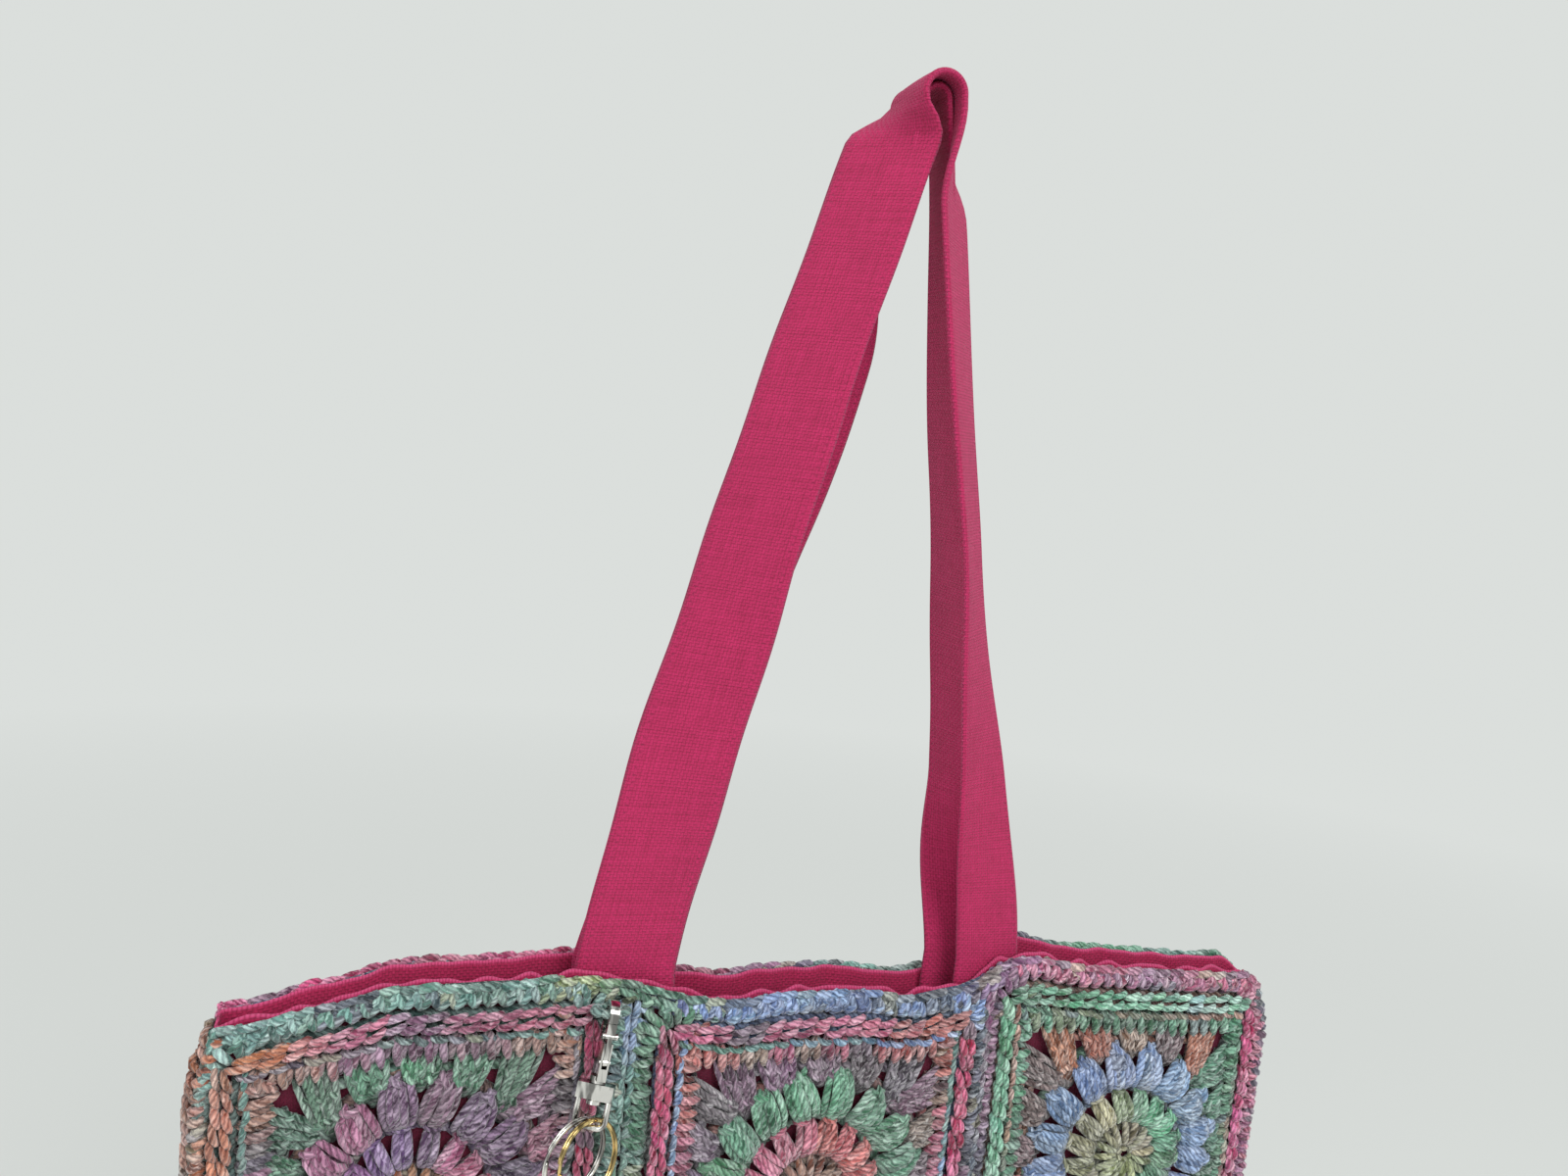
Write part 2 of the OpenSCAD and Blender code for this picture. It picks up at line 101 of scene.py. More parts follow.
def shift_right(across, up):
    """How far a point of the bag hangs to the right of its place in a flat bag, from smoothsteps."""
    high = smooth(0.18, 0.33, up)
    middle = smooth(-0.085, -0.032, across) - smooth(0.054, 0.080, across)
    left = left_spread * smooth(0.172, 0.188, -across) - side_tuck * smooth(0.187, 0.197, -across)
    corner = smooth(0.184, 0.198, np.abs(across)) * smooth(0.366, 0.392, up)
    return (
        high * middle_shift * middle
        - high * left
        - high * right_pull * smooth(0.170, 0.195, across)
        - np.sign(across) * corner_pull * corner
    )


def hang(across, up, out, side=1.0):
    """World place of a point of the bag: across from the middle, up from the bottom seam and out from
    the canvas. Its depth is the lean times the height, less the turn of the outer columns."""
    across, up, out = np.broadcast_arrays(across, up, out)
    beyond = np.maximum(np.abs(across) - half_pitch, 0)
    x = across - np.sign(across) * beyond * turn_in**2 + shift_right(across, up) - hook_side
    depth = bottom_half + up * lean - beyond * turn_in + out
    return np.stack([x, -side * depth, bottom_z + up + shift_up(across, up)], axis=-1)


# ------------------------------
# Canvas lining
# One bag of plain woven cotton canvas, seamed down the sides and along the
# bottom, with its rim folded in to a hem that is stitched and slightly ruffled.
# ------------------------------
canvas_t = 0.0008
canvas_top = 0.3905
canvas_inset = 0.0022
hem_depth = 0.024
fold_drop, fold_rise, fold_half = 0.0016, 0.0014, 0.0005
sheet_out, hem_in = 0.0006, -0.0005
seam_out, seam_in = 0.0016, 0.0004
weave_pitch = 0.00105
stitch_length = 0.0026
canvas_lit = (0.71, 0.105, 0.325)
canvas_deep = (0.55, 0.055, 0.225)


def to_linear(c):
    """Scene-linear values of display colours, by the power law of sRGB."""
    return np.where(c <= 0.04045, c / 12.92, ((c + 0.055) / 1.055) ** 2.4)


def linear(colour):
    """Scene-linear RGBA of one display colour."""
    return (*to_linear(np.asarray(colour, float)).tolist(), 1.0)


class Value:
    """A shader socket that adds a Math node for each operator or sum asked of it."""

    def __init__(self, finish, socket):
        self.finish, self.socket = finish, socket

    def with_math(self, operation, *others, swap=False):
        operands = [self, *others]
        if swap:
            operands.reverse()
        return self.finish.node("Math", {"operation": operation}, *operands)

    def beside(self, output):
        """Another output of the same node."""
        return Value(self.finish, self.socket.node.outputs[output])

    __add__ = __radd__ = partialmethod(with_math, "ADD")
    __sub__ = partialmethod(with_math, "SUBTRACT")
    __rsub__ = partialmethod(with_math, "SUBTRACT", swap=True)
    __mul__ = __rmul__ = partialmethod(with_math, "MULTIPLY")
    sine = partialmethod(with_math, "SINE")
    size = partialmethod(with_math, "ABSOLUTE")
    power = partialmethod(with_math, "POWER")
    over = partialmethod(with_math, "GREATER_THAN")

    def held(self, top=1.0):
        """This value, but no less than 0 and no more than a top."""
        return self.with_math("MAXIMUM", 0.0).with_math("MINIMUM", top)


class Finish:
    """One material, built node by node around its Principled shader."""

    def __init__(self, name, **constants):
        self.material = bpy.data.materials.new(name)
        self.material.use_nodes = True
        self.tree = self.material.node_tree
        self.shader = self.tree.nodes["Principled BSDF"]
        for socket, value in constants.items():
            self.shader.inputs[socket.replace("_", " ")].default_value = value

    def node(self, kind, settings, *inputs, output=0, **named):
        """Adds a node, sets its properties, then its sockets' values or links, and returns one output."""
        node = self.tree.nodes.new("ShaderNode" + kind)
        for key, value in settings.items():
            setattr(node, key, value)
        for key, value in [*enumerate(inputs), *named.items()]:
            socket = node.inputs[key.replace("_", " ") if isinstance(key, str) else key]
            if isinstance(value, Value):
                self.tree.links.new(value.socket, socket)
            else:
                socket.default_value = value
        return Value(self, node.outputs[output])

    def mix(self, factor, one, two, blend="MIX"):
        """Colour one turning into colour two as the factor goes from 0 to 1."""
        node = self.tree.nodes.new("ShaderNodeMix")
        node.data_type, node.blend_type = "RGBA", blend
        for socket, value in zip((node.inputs[0], node.inputs[6], node.inputs[7]), (factor, one, two)):
            if isinstance(value, Value):
                self.tree.links.new(value.socket, socket)
            else:
                socket.default_value = value
        return Value(self, node.outputs[2])

    def feed(self, **values):
        """Links values to sockets of the shader."""
        for socket, value in values.items():
            self.tree.links.new(value.socket, self.shader.inputs[socket.replace("_", " ")])

    def object_place(self):
        return self.node("TexCoord", {}, output=3)

    def mark(self, name, output=2):
        """What the piece's points hold under a name: a number, or from output 0 a colour."""
        return self.node("Attribute", {"attribute_name": name}, output=output)

    def noise(self, place, scale, detail=3.0, rough=0.55):
        return self.node("TexNoise", {}, Vector=place, Scale=scale, Detail=detail, Roughness=rough)

    def bumps(self, height, depth, strength):
        """Normal of a surface that rises by the height, from 0 to 1, times the depth in metres."""
        return self.node("Bump", {}, Height=height, Distance=depth, Strength=strength)


def woven(name, lit, deep, stitch_from):
    """Plain weave on UVs in metres: warp and weft cross as two sines, each on top in turn, and slubs
    thicken single threads. A line of stitches runs along each edge at the given distance."""
    sheen = linear((0.95, 0.55, 0.7))
    cloth = Finish(name, Roughness=0.88, Sheen_Weight=0.25, Sheen_Roughness=0.5, Sheen_Tint=sheen)
    uv = cloth.node("UVMap", {"uv_map": "cloth"})
    along = cloth.node("SeparateXYZ", {}, uv)
    across = along.beside(1)
    slubs = cloth.noise(cloth.node("Mapping", {}, uv, Scale=(900.0, 60.0, 1.0)), 1.0)
    picks = cloth.noise(cloth.node("Mapping", {}, uv, Scale=(60.0, 900.0, 1.0)), 1.0)
    step = np.pi / weave_pitch
    warp = ((along + slubs * 0.0004) * step).sine()
    weft = ((across + picks * 0.0004) * step).sine()
    top = (warp * weft).over(0.0)
    threads = top * weft.size() + (1.0 - top) * warp.size()
    worn = cloth.noise(uv, 38.0, 4.0)
    uneven = cloth.noise(uv, 420.0, 2.0)
    tone = (threads * 0.5 + (slubs + picks) * 0.8 + uneven * 0.4 - 0.78).held()
    height = threads + uneven * 0.5 + (slubs + picks) * 0.6
    colour = cloth.mix(tone, linear(deep), linear(lit))
    colour = cloth.mix(worn * 0.45, colour, (0.62, 0.6, 0.66, 1), "MULTIPLY")
    edge = cloth.mark("from_edge")
    line = 1.0 - ((edge - stitch_from) * 1500.0).size().held()
    dash = (along * (np.pi / stitch_length)).sine().size().power(0.35)
    seam = line * dash
    height = height + seam * 1.6 - line * 2.2
    colour = cloth.mix(line * 0.6, colour, linear(tuple(0.55 * c for c in deep)))
    colour = cloth.mix(seam * 0.55, colour, linear(tuple(min(1, 1.12 * c) for c in lit)))
    # A turned edge is rubbed paler, bead by bead
    rubbed = (1.0 - edge * 800.0).held() * (warp.size() * 0.7 + 0.3)
    colour = cloth.mix(rubbed * 0.75, colour, linear((0.86, 0.36, 0.56)))
    # Painted shade: what the wool covers is darkened as if out of the light
    covered = cloth.mark("covered")
    colour = cloth.mix(covered, colour, (0.32, 0.26, 0.34, 1), "MULTIPLY")
    cloth.feed(Base_Color=colour, Normal=cloth.bumps(height, 0.00026, 0.9))
    return cloth.material


def put_mesh(name, points, faces, material, uv=None, marks=None):
    """One smooth object at the origin from points, faces (arrays of corners, one for each number of sides),
    a UV place for each point or face corner, and named values for each point."""
    mesh = bpy.data.meshes.new(name)
    sizes = np.concatenate([np.full(len(f), f.shape[1]) for f in faces])
    corners = np.concatenate([f.ravel() for f in faces]).astype(np.int32)
    mesh.vertices.add(len(points))
    mesh.vertices.foreach_set("co", np.asarray(points, np.float32).ravel())
    mesh.loops.add(len(corners))
    mesh.loops.foreach_set("vertex_index", corners)
    mesh.polygons.add(len(sizes))
    mesh.polygons.foreach_set("loop_start", np.concatenate([[0], np.cumsum(sizes)[:-1]]).astype(np.int32))
    mesh.polygons.foreach_set("use_smooth", np.ones(len(sizes), bool))
    mesh.update(calc_edges=True)
    if uv is not None:
        layer = mesh.uv_layers.new(name=uv[0])
        places = np.asarray(uv[1], np.float32)
        layer.data.foreach_set("uv", (places if len(places) == len(corners) else places[corners]).ravel())
    for key, values in (marks or {}).items():
        values = np.asarray(values, np.float32)
        if values.ndim == 1:
            mesh.attributes.new(key, "FLOAT", "POINT").data.foreach_set("value", values)
        else:
            rgba = np.concatenate([values, np.ones((len(values), 1), np.float32)], axis=1)
            mesh.attributes.new(key, "FLOAT_COLOR", "POINT").data.foreach_set("color", rgba.ravel())
    mesh.validate()
    mesh.materials.append(material)
    piece = bpy.data.objects.new(name, mesh)
    bpy.context.scene.collection.objects.link(piece)
    return piece


def grid_faces(rows, columns):
    """Quads of a grid of points in rows, whose last column joins its first."""
    i, j = np.meshgrid(np.arange(rows - 1) * columns, np.arange(columns), indexing="ij")
    k = (j + 1) % columns
    return np.stack([i + j, i + k, i + columns + k, i + columns + j], -1).reshape(-1, 4)


canvas_weave = woven("canvas_weave", canvas_lit, canvas_deep, stitch_from=0.021)


def canvas_profile():
    """Height, depth and length along the cloth, from the bottom up the outside, over the folded rim in
    a half round of its own thickness and down the inside to the hem's edge."""
    fold = canvas_top - fold_drop
    up = np.concatenate([[0.0, 0.02, 0.10, 0.20], np.linspace(0.28, fold, 34)])
    bend = np.linspace(0, np.pi, 7)[1:-1]
    down = np.linspace(fold, canvas_top - hem_depth, 8)
    height = np.concatenate([up, fold + fold_rise * np.sin(bend), down])
    over = sheet_out - fold_half + fold_half * np.cos(bend)
    depth = np.concatenate([sheet_out + 0 * up, over, hem_in + 0 * down])
    length = np.concatenate([[0], np.cumsum(np.hypot(np.diff(height), np.diff(depth)))])
    return height, depth, length


rim_height, rim_depth, rim_length = canvas_profile()
points_round = 440
place = np.arange(points_round) / points_round * 4 - 1
front = place < 1
# Round the bag: -1 to 1 is the front from left to right, 1 to 3 the back from right to left
across = np.where(front, place, 2 - place)
tuck = smooth(0.955, 1.0, np.abs(across))
# Sums of sines that don't repeat wave the rim in and out, and ruffle it up and down
wave = np.sin(place * 53 + 2 * np.sin(place * 9)) + 0.7 * np.sin(place * 83 + 1.3)
wave += 0.3 * np.sin(place * 131)
wave *= np.where(front, 0.00075, 0.00035) * (1 - 0.7 * bump(np.abs(across) * bag_half, half_pitch, 0.022))
near_rim = smooth(0.368, canvas_top, rim_height)[:, None]
inside = (rim_depth < 0)[:, None]
out = rim_depth[:, None] + near_rim * wave
ruffle = np.sin(place * 61 + 2 * np.sin(place * 11)) + 0.6 * np.sin(place * 101 + 2)
height = rim_height[:, None] + near_rim * np.where(front, 0.0009, 0.0003) * ruffle
points = hang(across * (bag_half - canvas_inset), height, out)
points[..., 1] = np.where(front, points[..., 1], -points[..., 1])
# The two faces meet at the sides and the bottom
shut = np.maximum(tuck, 1 - smooth(0.0, 0.02, rim_height)[:, None])
seam_half = np.where(inside, seam_in, seam_out)
seam = np.where(front, -1, 1) * seam_half * np.cos(tuck * np.pi / 2)
points[..., 1] = points[..., 1] * (1 - shut) + seam * shut
cloth_uv = np.stack(np.broadcast_arrays(place[None, :] * bag_half, rim_length[:, None]), -1).reshape(-1, 2)
canvas = put_mesh(
    "canvas_bag",
    points.reshape(-1, 3),
    [grid_faces(len(rim_height), points_round)],
    canvas_weave,
    uv=("cloth", cloth_uv),
    marks={
        "from_edge": np.repeat(canvas_top - rim_height, points_round),
        # Painted shade on the outside of the canvas below the crochet
        "covered": np.repeat((1 - smooth(0.3835, 0.3865, rim_height)) * (rim_depth > 0), points_round),
    },
)
thicken = canvas.modifiers.new("cloth_thickness", "SOLIDIFY")
thicken.thickness, thicken.offset = canvas_t, 0.0
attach(canvas, "bag")
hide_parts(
    "canvas_front",
    "canvas_back",
    "hem_front",
    "hem_back",
    "canvas_side_seam_left",
    "canvas_side_seam_right",
    "canvas_bottom_seam",
)

# ------------------------------
# Straps
# Each strap is a length of the same canvas, folded to four layers and stitched
# along both edges. Its ends are sewn inside the hem, and it hangs over the hook.
# ------------------------------
strap_w = 0.032
strap_t, strap_pressed = 0.0022, 0.92
strap_foot = 0.2975
strap_base_y = 0.00503
strap_tail = 0.045
inner_bend, outer_bend = 0.0041, 0.0071


def strap_course(kind, side, t):
    """Middle, turn and half width of a leg at t, from 0 at the rim to 1 at the hook. The middle goes
    straight from the rim to the bend and bows by a half sine. The turn is three smoothsteps. Up to the
    middle of its height a share of the leg is tucked behind its inner edge."""
    bend, bow, peak, deep, first, turn, last, tucked = {
        ("front", -1): (outer_bend, 0.0068, 0.95, 0.010, 0, 38, (0.95, 1.0), 0),
        ("front", 1): (outer_bend, -0.002, 1.2, 0.010, 12, 54, (0.88, 1.0), 0.31),
        ("back", -1): (inner_bend, -0.0056, 2.0, 0.0085, 0, 15, (0.70, 0.95), 0),
        ("back", 1): (inner_bend, 0.003, 1.0, 0.0085, 62, 86, (0.70, 0.95), 0),
    }[kind, side]
    x = (half_pitch - side * hook_side) * (1 - t) + bend * t + bow * np.sin(np.pi * t**peak)
    y = strap_base_y * (1 - t) + deep * np.sin(np.pi * t)
    turned_so_far = first * smooth(0, 0.22, t) + (turn - first) * smooth(0.05, 0.5, t)
    angle = np.radians(turned_so_far + (90 - turn) * smooth(*last, t))
    gather = 0.4 * smooth(0.6, 0.9, t) if kind == "back" else 0.055 * smooth(0.4, 0.8, t) - 0.09
    hidden = tucked * (1 - smooth(0.45, 0.85, t))
    x = x + strap_w / 2 * hidden * np.cos(angle)
    y = y - strap_w / 2 * hidden * np.sin(angle)
    return x, y, angle, strap_w / 2 * (1 - gather - hidden)


def strap_frames(kind):
    """Middles, across and outward directions and half widths along a whole strap: its left sewn end, the
    left leg up to the hook, a half round over it, and the right leg down to the right sewn end."""
    t = np.linspace(0, 1, 80)
    frames = []
    for side in (-1, 1):
        x, y, angle, half = strap_course(kind, side, t)
        middle = np.stack([side * x, -y, -strap_foot * (1 - t)], -1)
        width = np.stack([side * np.cos(angle), np.sin(angle), 0 * t], -1)
        outward = np.stack([side * np.sin(angle), -np.cos(angle), 0 * t], -1)
        down = np.linspace(strap_tail, 0.001, 10)
        foot = middle[0] - down[:, None] * [0, 0, 1]
        tail = [foot, *(np.repeat(v[:1], len(down), 0) for v in (width, outward, half))]
        frames.append([np.concatenate(pair) for pair in zip(tail, [middle, width, outward, half])])
    bend = outer_bend if kind == "front" else inner_bend
    arc = np.linspace(np.pi, 0, 18)[1:-1]
    left, right = frames
    radial = np.stack([np.cos(arc), 0 * arc, np.sin(arc)], -1)
    width = np.repeat([[0.0, 1.0, 0.0]], len(arc), 0)
    over = [bend * radial, width, radial, np.full(len(arc), left[3][-1])]
    return [np.concatenate([a, b, c[::-1]]) for a, b, c in zip(left, over, right)]


def strap_band(kind, seed):
    """A band round the strap's frames: its section is a flat oval with fuller folded edges, and each
    edge wavers a little by slow sines."""
    middle, width, outward, half = strap_frames(kind)
    length = np.concatenate([[0], np.cumsum(np.linalg.norm(np.diff(middle, axis=0), axis=1))])
    share = np.linspace(-1, 1, 21)
    edge = np.sqrt(np.clip(1 - ((np.abs(share) - 0.93) / 0.07).clip(0, 1) ** 2, 0, 1))
    # Fuller along the folds and drawn in along the stitches
    pad = 1 + 0.16 * bump(np.abs(share), 0.93, 0.05) - 0.14 * bump(np.abs(share), 0.82, 0.035)
    thick = strap_t / 2 * strap_pressed * pad * edge
    section = np.concatenate([np.stack([share, thick], -1), np.stack([share, -thick], -1)[-2:0:-1]])
    phase = seed * 1.7
    waver = 0.00035 * np.sin(length * 95 + phase) + 0.0003 * np.sin(length * 41 + 2 * phase)
    buckle = 0.0004 * np.sin(length * 60 + phase)
    reach = section[None, :, 0] * half[:, None] + waver[:, None] * section[None, :, 0] ** 2
    buckle = buckle * smooth(0.02, 0.06, length)
    lift = section[None, :, 1] + buckle[:, None] * section[None, :, 0] ** 2
    points = middle[:, None] + reach[..., None] * width[:, None] + lift[..., None] * outward[:, None]
    if kind == "back":
        points = points * [1, -1, 1]
    rings, sides = points.shape[:2]
    faces = grid_faces(rings, sides)
    start = np.stack([np.full(sides - 2, 0), np.arange(1, sides - 1), np.arange(2, sides)], -1)
    caps = [start, (rings - 1) * sides + start[:, ::-1]]
    uv = np.broadcast_arrays(length[:, None], section[None, :, 0] * strap_w / 2)
    uv = np.stack(uv, -1).reshape(-1, 2)
    from_edge = np.broadcast_to((1 - np.abs(section[:, 0])) * strap_w / 2, (rings, sides)).ravel()
    return points.reshape(-1, 3), faces, caps, uv, from_edge


strap_lit, strap_deep = (0.765, 0.13, 0.375), (0.575, 0.055, 0.24)
strap_weave = woven("strap_weave", strap_lit, strap_deep, stitch_from=0.0036)


def facing_out(points, faces, caps):
    """Turns every face over if the solid's signed volume is negative."""
    fans = [face[:, [0, k, k + 1]] for face in (faces, *caps) for k in range(1, face.shape[1] - 1)]
    a, b, c = (points[np.concatenate(fans)[:, k]] for k in range(3))
    if np.einsum("ij,ij->i", a, np.cross(b, c)).sum() < 0:
        return faces[:, ::-1], [cap[:, ::-1] for cap in caps]
    return faces, caps


for kind, seed in (("front", 1), ("back", 2)):
    points, faces, caps, uv, from_edge = strap_band(kind, seed)
    faces, caps = facing_out(points, faces, caps)
    marks = {"from_edge": from_edge + 0.0008, "covered": 0 * from_edge}
    strap = put_mesh(kind + "_strap_band", points, [faces, *caps], strap_weave, ("cloth", uv), marks)
    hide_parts(kind + "_strap", kind + "_strap_ends")
    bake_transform(strap)

# ------------------------------
# Crocheted granny squares
# Eighteen squares, nine on a face, of a fuzzy wool that changes colour along
# its length. Each has a flower of bobbles, rounds of trebles and posts, and a
# raised chain. Every strand is its own tube, laid in a pattern in millimetres.
# ------------------------------
mm = 0.001
shade = {
    "teal": (0.43, 0.61, 0.57),
    "light_teal": (0.59, 0.77, 0.73),
    "slate": (0.27, 0.31, 0.37),
    "steel": (0.54, 0.65, 0.86),
    "sky": (0.62, 0.74, 0.90),
    "mauve": (0.59, 0.41, 0.54),
    "pink": (0.82, 0.44, 0.57),
    "hot_pink": (0.90, 0.28, 0.52),
    "magenta": (0.71, 0.18, 0.35),
    "coral": (0.82, 0.44, 0.42),
    "peach": (0.75, 0.55, 0.49),
    "rust": (0.82, 0.50, 0.38),
    "brown": (0.57, 0.39, 0.31),
    "mint": (0.41, 0.69, 0.54),
    "light_mint": (0.68, 0.90, 0.80),
    "green": (0.33, 0.53, 0.42),
    "beige": (0.65, 0.63, 0.50),
    "lime": (0.61, 0.66, 0.45),
    "grey_mauve": (0.45, 0.39, 0.45),
    "purple": (0.50, 0.36, 0.57),
}
ply_pitch = 0.0024
along_strand = np.array([0.0, 0.13, 0.38, 0.62, 0.87, 1.0])
plump = np.array([0.42, 0.85, 1.0, 1.0, 0.85, 0.42])


def stitches(rng, a, b, bow, low, rise, thick, colour):
    """A row of single strands. Each runs from its first place to its second, bowed sideways by the root of
    a half sine, raised by a half sine, and thinner at its ends. Two ends' heights may be given. In mm."""
    a, b = np.asarray(a, float), np.asarray(b, float)
    count = len(a)
    a, b = a + rng.normal(0, 0.22, (count, 2)), b + rng.normal(0, 0.22, (count, 2))
    low_a, low_b = low if isinstance(low, tuple) else (low, low)
    row = (bow, low_a, low_b, rise, thick)
    bow, low_a, low_b, rise, thick = (np.broadcast_to(np.asarray(v, float), count)[:, None] for v in row)
    bow = bow + rng.normal(0, 0.25, (count, 1))
    rise = rise * rng.normal(1, 0.12, (count, 1)) + rng.normal(0, 0.15, (count, 1))
    arch = np.sin(np.pi * along_strand)
    run = b - a
    aside = np.stack([-run[:, 1], run[:, 0]], -1) / np.linalg.norm(run, axis=1, keepdims=True)
    bowed = (bow * np.sqrt(arch))[..., None] * aside[:, None]
    flat = a[:, None] + run[:, None] * along_strand[:, None] + bowed
    height = low_a * (1 - along_strand) + low_b * along_strand + rise * arch
    radius = thick * rng.normal(1, 0.06, (count, 1)) * plump
    return np.concatenate([flat, height[..., None]], -1), radius, np.broadcast_to(colour, (count, 3))


def first(names):
    return names.split()[0]


def yarn_run(rng, count, names, flecks="slate beige", fleck=0.05):
    """Colours along a round of yarn: the named colours in turn with soft changes between them, a slow
    wander of brightness, and now and then two stitches of another colour."""
    keys, others = (np.array([shade[name] for name in words.split()]) for words in (names, flecks))
    place = np.linspace(0, len(keys) - 1, count) if len(keys) > 1 else np.zeros(count)
    place = np.clip(place + rng.normal(0, 0.08, count), 0, len(keys) - 1)
    low = np.floor(place).astype(int)
    high = np.minimum(low + 1, len(keys) - 1)
    base = keys[low] + (keys[high] - keys[low]) * smooth(0.2, 0.8, place - low)[:, None]
    wander = np.convolve(rng.normal(0, 0.16, count + 4), np.ones(5) / 5, "valid")[:, None]
    base = base * (1 + wander + rng.normal(0, 0.035, (count, 1))) + rng.normal(0, 0.010, (count, 3))
    struck = rng.random(count) < fleck
    struck[1:] |= struck[:-1]
    other = others[rng.integers(0, len(others), count)]
    base[struck] = base[struck] * 0.35 + other[struck] * 0.65
    return base.clip(0.03, 0.95)


def spun_yarn():
    """Four plies laid round each other as stripes that slant over the UVs, each with a dye and a bundle of
    fibres of its own that change slowly along it, painted shade in the grooves between them, and a soft
    fuzz."""
    yarn = Finish("spun_yarn", Roughness=0.95, Sheen_Weight=0.35, Sheen_Roughness=0.4)
    along = yarn.node("SeparateXYZ", {}, yarn.node("UVMap", {"uv_map": "yarn"}))
    around = along.beside(1)
    place = yarn.object_place()
    wobble = yarn.noise(place, 520.0, 2.0, 0.6)
    lay = along * (1 / ply_pitch) + around * 4.0 + (wobble - 0.5) * 1.1
    ridges = (lay * (2 * np.pi)).sine() * 0.5 + 0.5
    dye = yarn.noise(yarn.node("CombineXYZ", {}, lay * 0.8, along * 110.0, wobble * 1.5), 1.0, 1.0)
    fibres = yarn.noise(yarn.node("CombineXYZ", {}, lay * 3.2, along * 260.0, around * 2.0), 1.0, 2.0, 0.65)
    # The ply colours carry the painted shade that put_yarn gives by height
    light = yarn.mark("light_ply", output=0)
    dark = yarn.mark("dark_ply", output=0)
    mixed = ((dye - 0.5) * 2.6 + (fibres - 0.5) * 1.5 + (wobble - 0.5) * 0.8 + 0.44).held()
    colour = yarn.mix(mixed, dark, light)
    # Painted shade in the grooves between the plies
    groove_shade = (1.0 - ridges).power(2.2) * 0.75
    colour = yarn.mix(groove_shade, colour, (0.30, 0.28, 0.32, 1), "MULTIPLY")
    yarn.feed(Base_Color=colour, Normal=yarn.bumps(ridges + fibres * 0.7, 0.0005, 0.8))
    return yarn.material


wool = spun_yarn()


def unit(v):
    return v / np.maximum(np.linalg.norm(v, axis=-1, keepdims=True), 1e-12)


def put_yarn(name, rounds, place, seed, node, depth_shade=0.66):
    """One piece of yarn on the bag: every strand of the rounds swept as a tube of six sides about its own
    course. Outward at each ring is the way that the place moves as the height grows. Depth shade is how
    much painted shade darkens the colours, by a smoothstep of the height, deep between the stitches."""
    sides = 6
    rng = default_rng(seed)
    flat, radius, colour = (np.concatenate([one[k] for one in rounds]) for k in range(3))
    flat, radius = flat * mm, radius * mm
    middle = place(flat[..., 0], flat[..., 1], flat[..., 2])
    above = place(flat[..., 0], flat[..., 1], flat[..., 2] + mm)
    strands, rings = radius.shape
    forward = unit(np.gradient(middle, axis=1))
    aside = unit(np.cross(forward, unit(above - middle)))
    upward = np.cross(aside, forward)
    angle = np.arange(sides) / sides * 2 * np.pi
    round_it = np.cos(angle)[:, None] * aside[:, :, None] + np.sin(angle)[:, None] * upward[:, :, None]
    shell = middle[:, :, None] + radius[..., None, None] * round_it
    per = rings * sides
    one = grid_faces(rings, sides)[:, ::-1]
    start = (np.arange(strands) * per)[:, None, None]
    first = np.arange(sides)
    ends = np.stack([first, per - sides + first[::-1]])
    quads, caps = (one[None] + start).reshape(-1, 4), (ends[None] + start).reshape(-1, sides)
    travel = np.cumsum(np.linalg.norm(np.diff(middle, axis=1), axis=-1), axis=1)
    along = np.concatenate([np.zeros((strands, 1)), travel], 1) + rng.uniform(0, 1, (strands, 1))
    side_of = one % sides
    turn = (side_of + sides * ((side_of == 0) & (side_of.max(axis=1, keepdims=True) == sides - 1))) / sides
    uv = []
    for corner, part in ((one, turn), (ends, ends % sides / sides)):
        lengthwise = along[:, corner // sides]
        uv.append(np.stack([lengthwise, np.broadcast_to(part, lengthwise.shape)], -1).reshape(-1, 2))
    # Each strand's dye, made purer, has a light and a dark ply
    grey = colour.mean(axis=1, keepdims=True)
    colour = (grey + (colour - grey) * 1.3).clip(0.02, 0.96)
    light = colour + (0.97 - colour) * rng.uniform(0.35, 0.62, (strands, 1))
    dark = colour * rng.uniform(0.50, 0.72, (strands, 1))
    # Painted shade: the ply colours are darkened towards the low parts of each strand, deep between the
    # stitches
    level = (flat[..., 2, None] + radius[..., None] * np.sin(angle)) / mm
    lit = (1 - depth_shade * (1 - smooth(0.8, 6.0, level))).reshape(-1, 1)
    marks = {
        "light_ply": np.repeat(to_linear(light), per, axis=0) * lit,
        "dark_ply": np.repeat(to_linear(dark), per, axis=0) * lit,
    }
    piece = put_mesh(name, shell.reshape(-1, 3), [quads, caps], wool, ("yarn", np.concatenate(uv)), marks)
    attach(piece, "bag")
    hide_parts(node)


def polar(r, angle, aside=0.0):
    """Place at a radius and an angle in degrees, and a distance to its left."""
    t = np.radians(angle)
    return np.stack([r * np.cos(t) - aside * np.sin(t), r * np.sin(t) + aside * np.cos(t)], -1)


def on_side(number, along, out):
    """Place on one of the four sides of a square, 0 the right and on round to 3 the bottom: a distance
    along it from its middle, seen from the centre, and one outward from the centre."""
    along, out = np.broadcast_arrays(along, out)
    return polar(out, 90.0 * number, along)


def each(colours, times, rng):
    """Repeats each stitch's colour for its strands, with a small change of brightness."""
    colours = np.repeat(colours, times, axis=0)
    return colours * rng.normal(1, 0.05, (len(colours), 1))


treble_half = 1.3


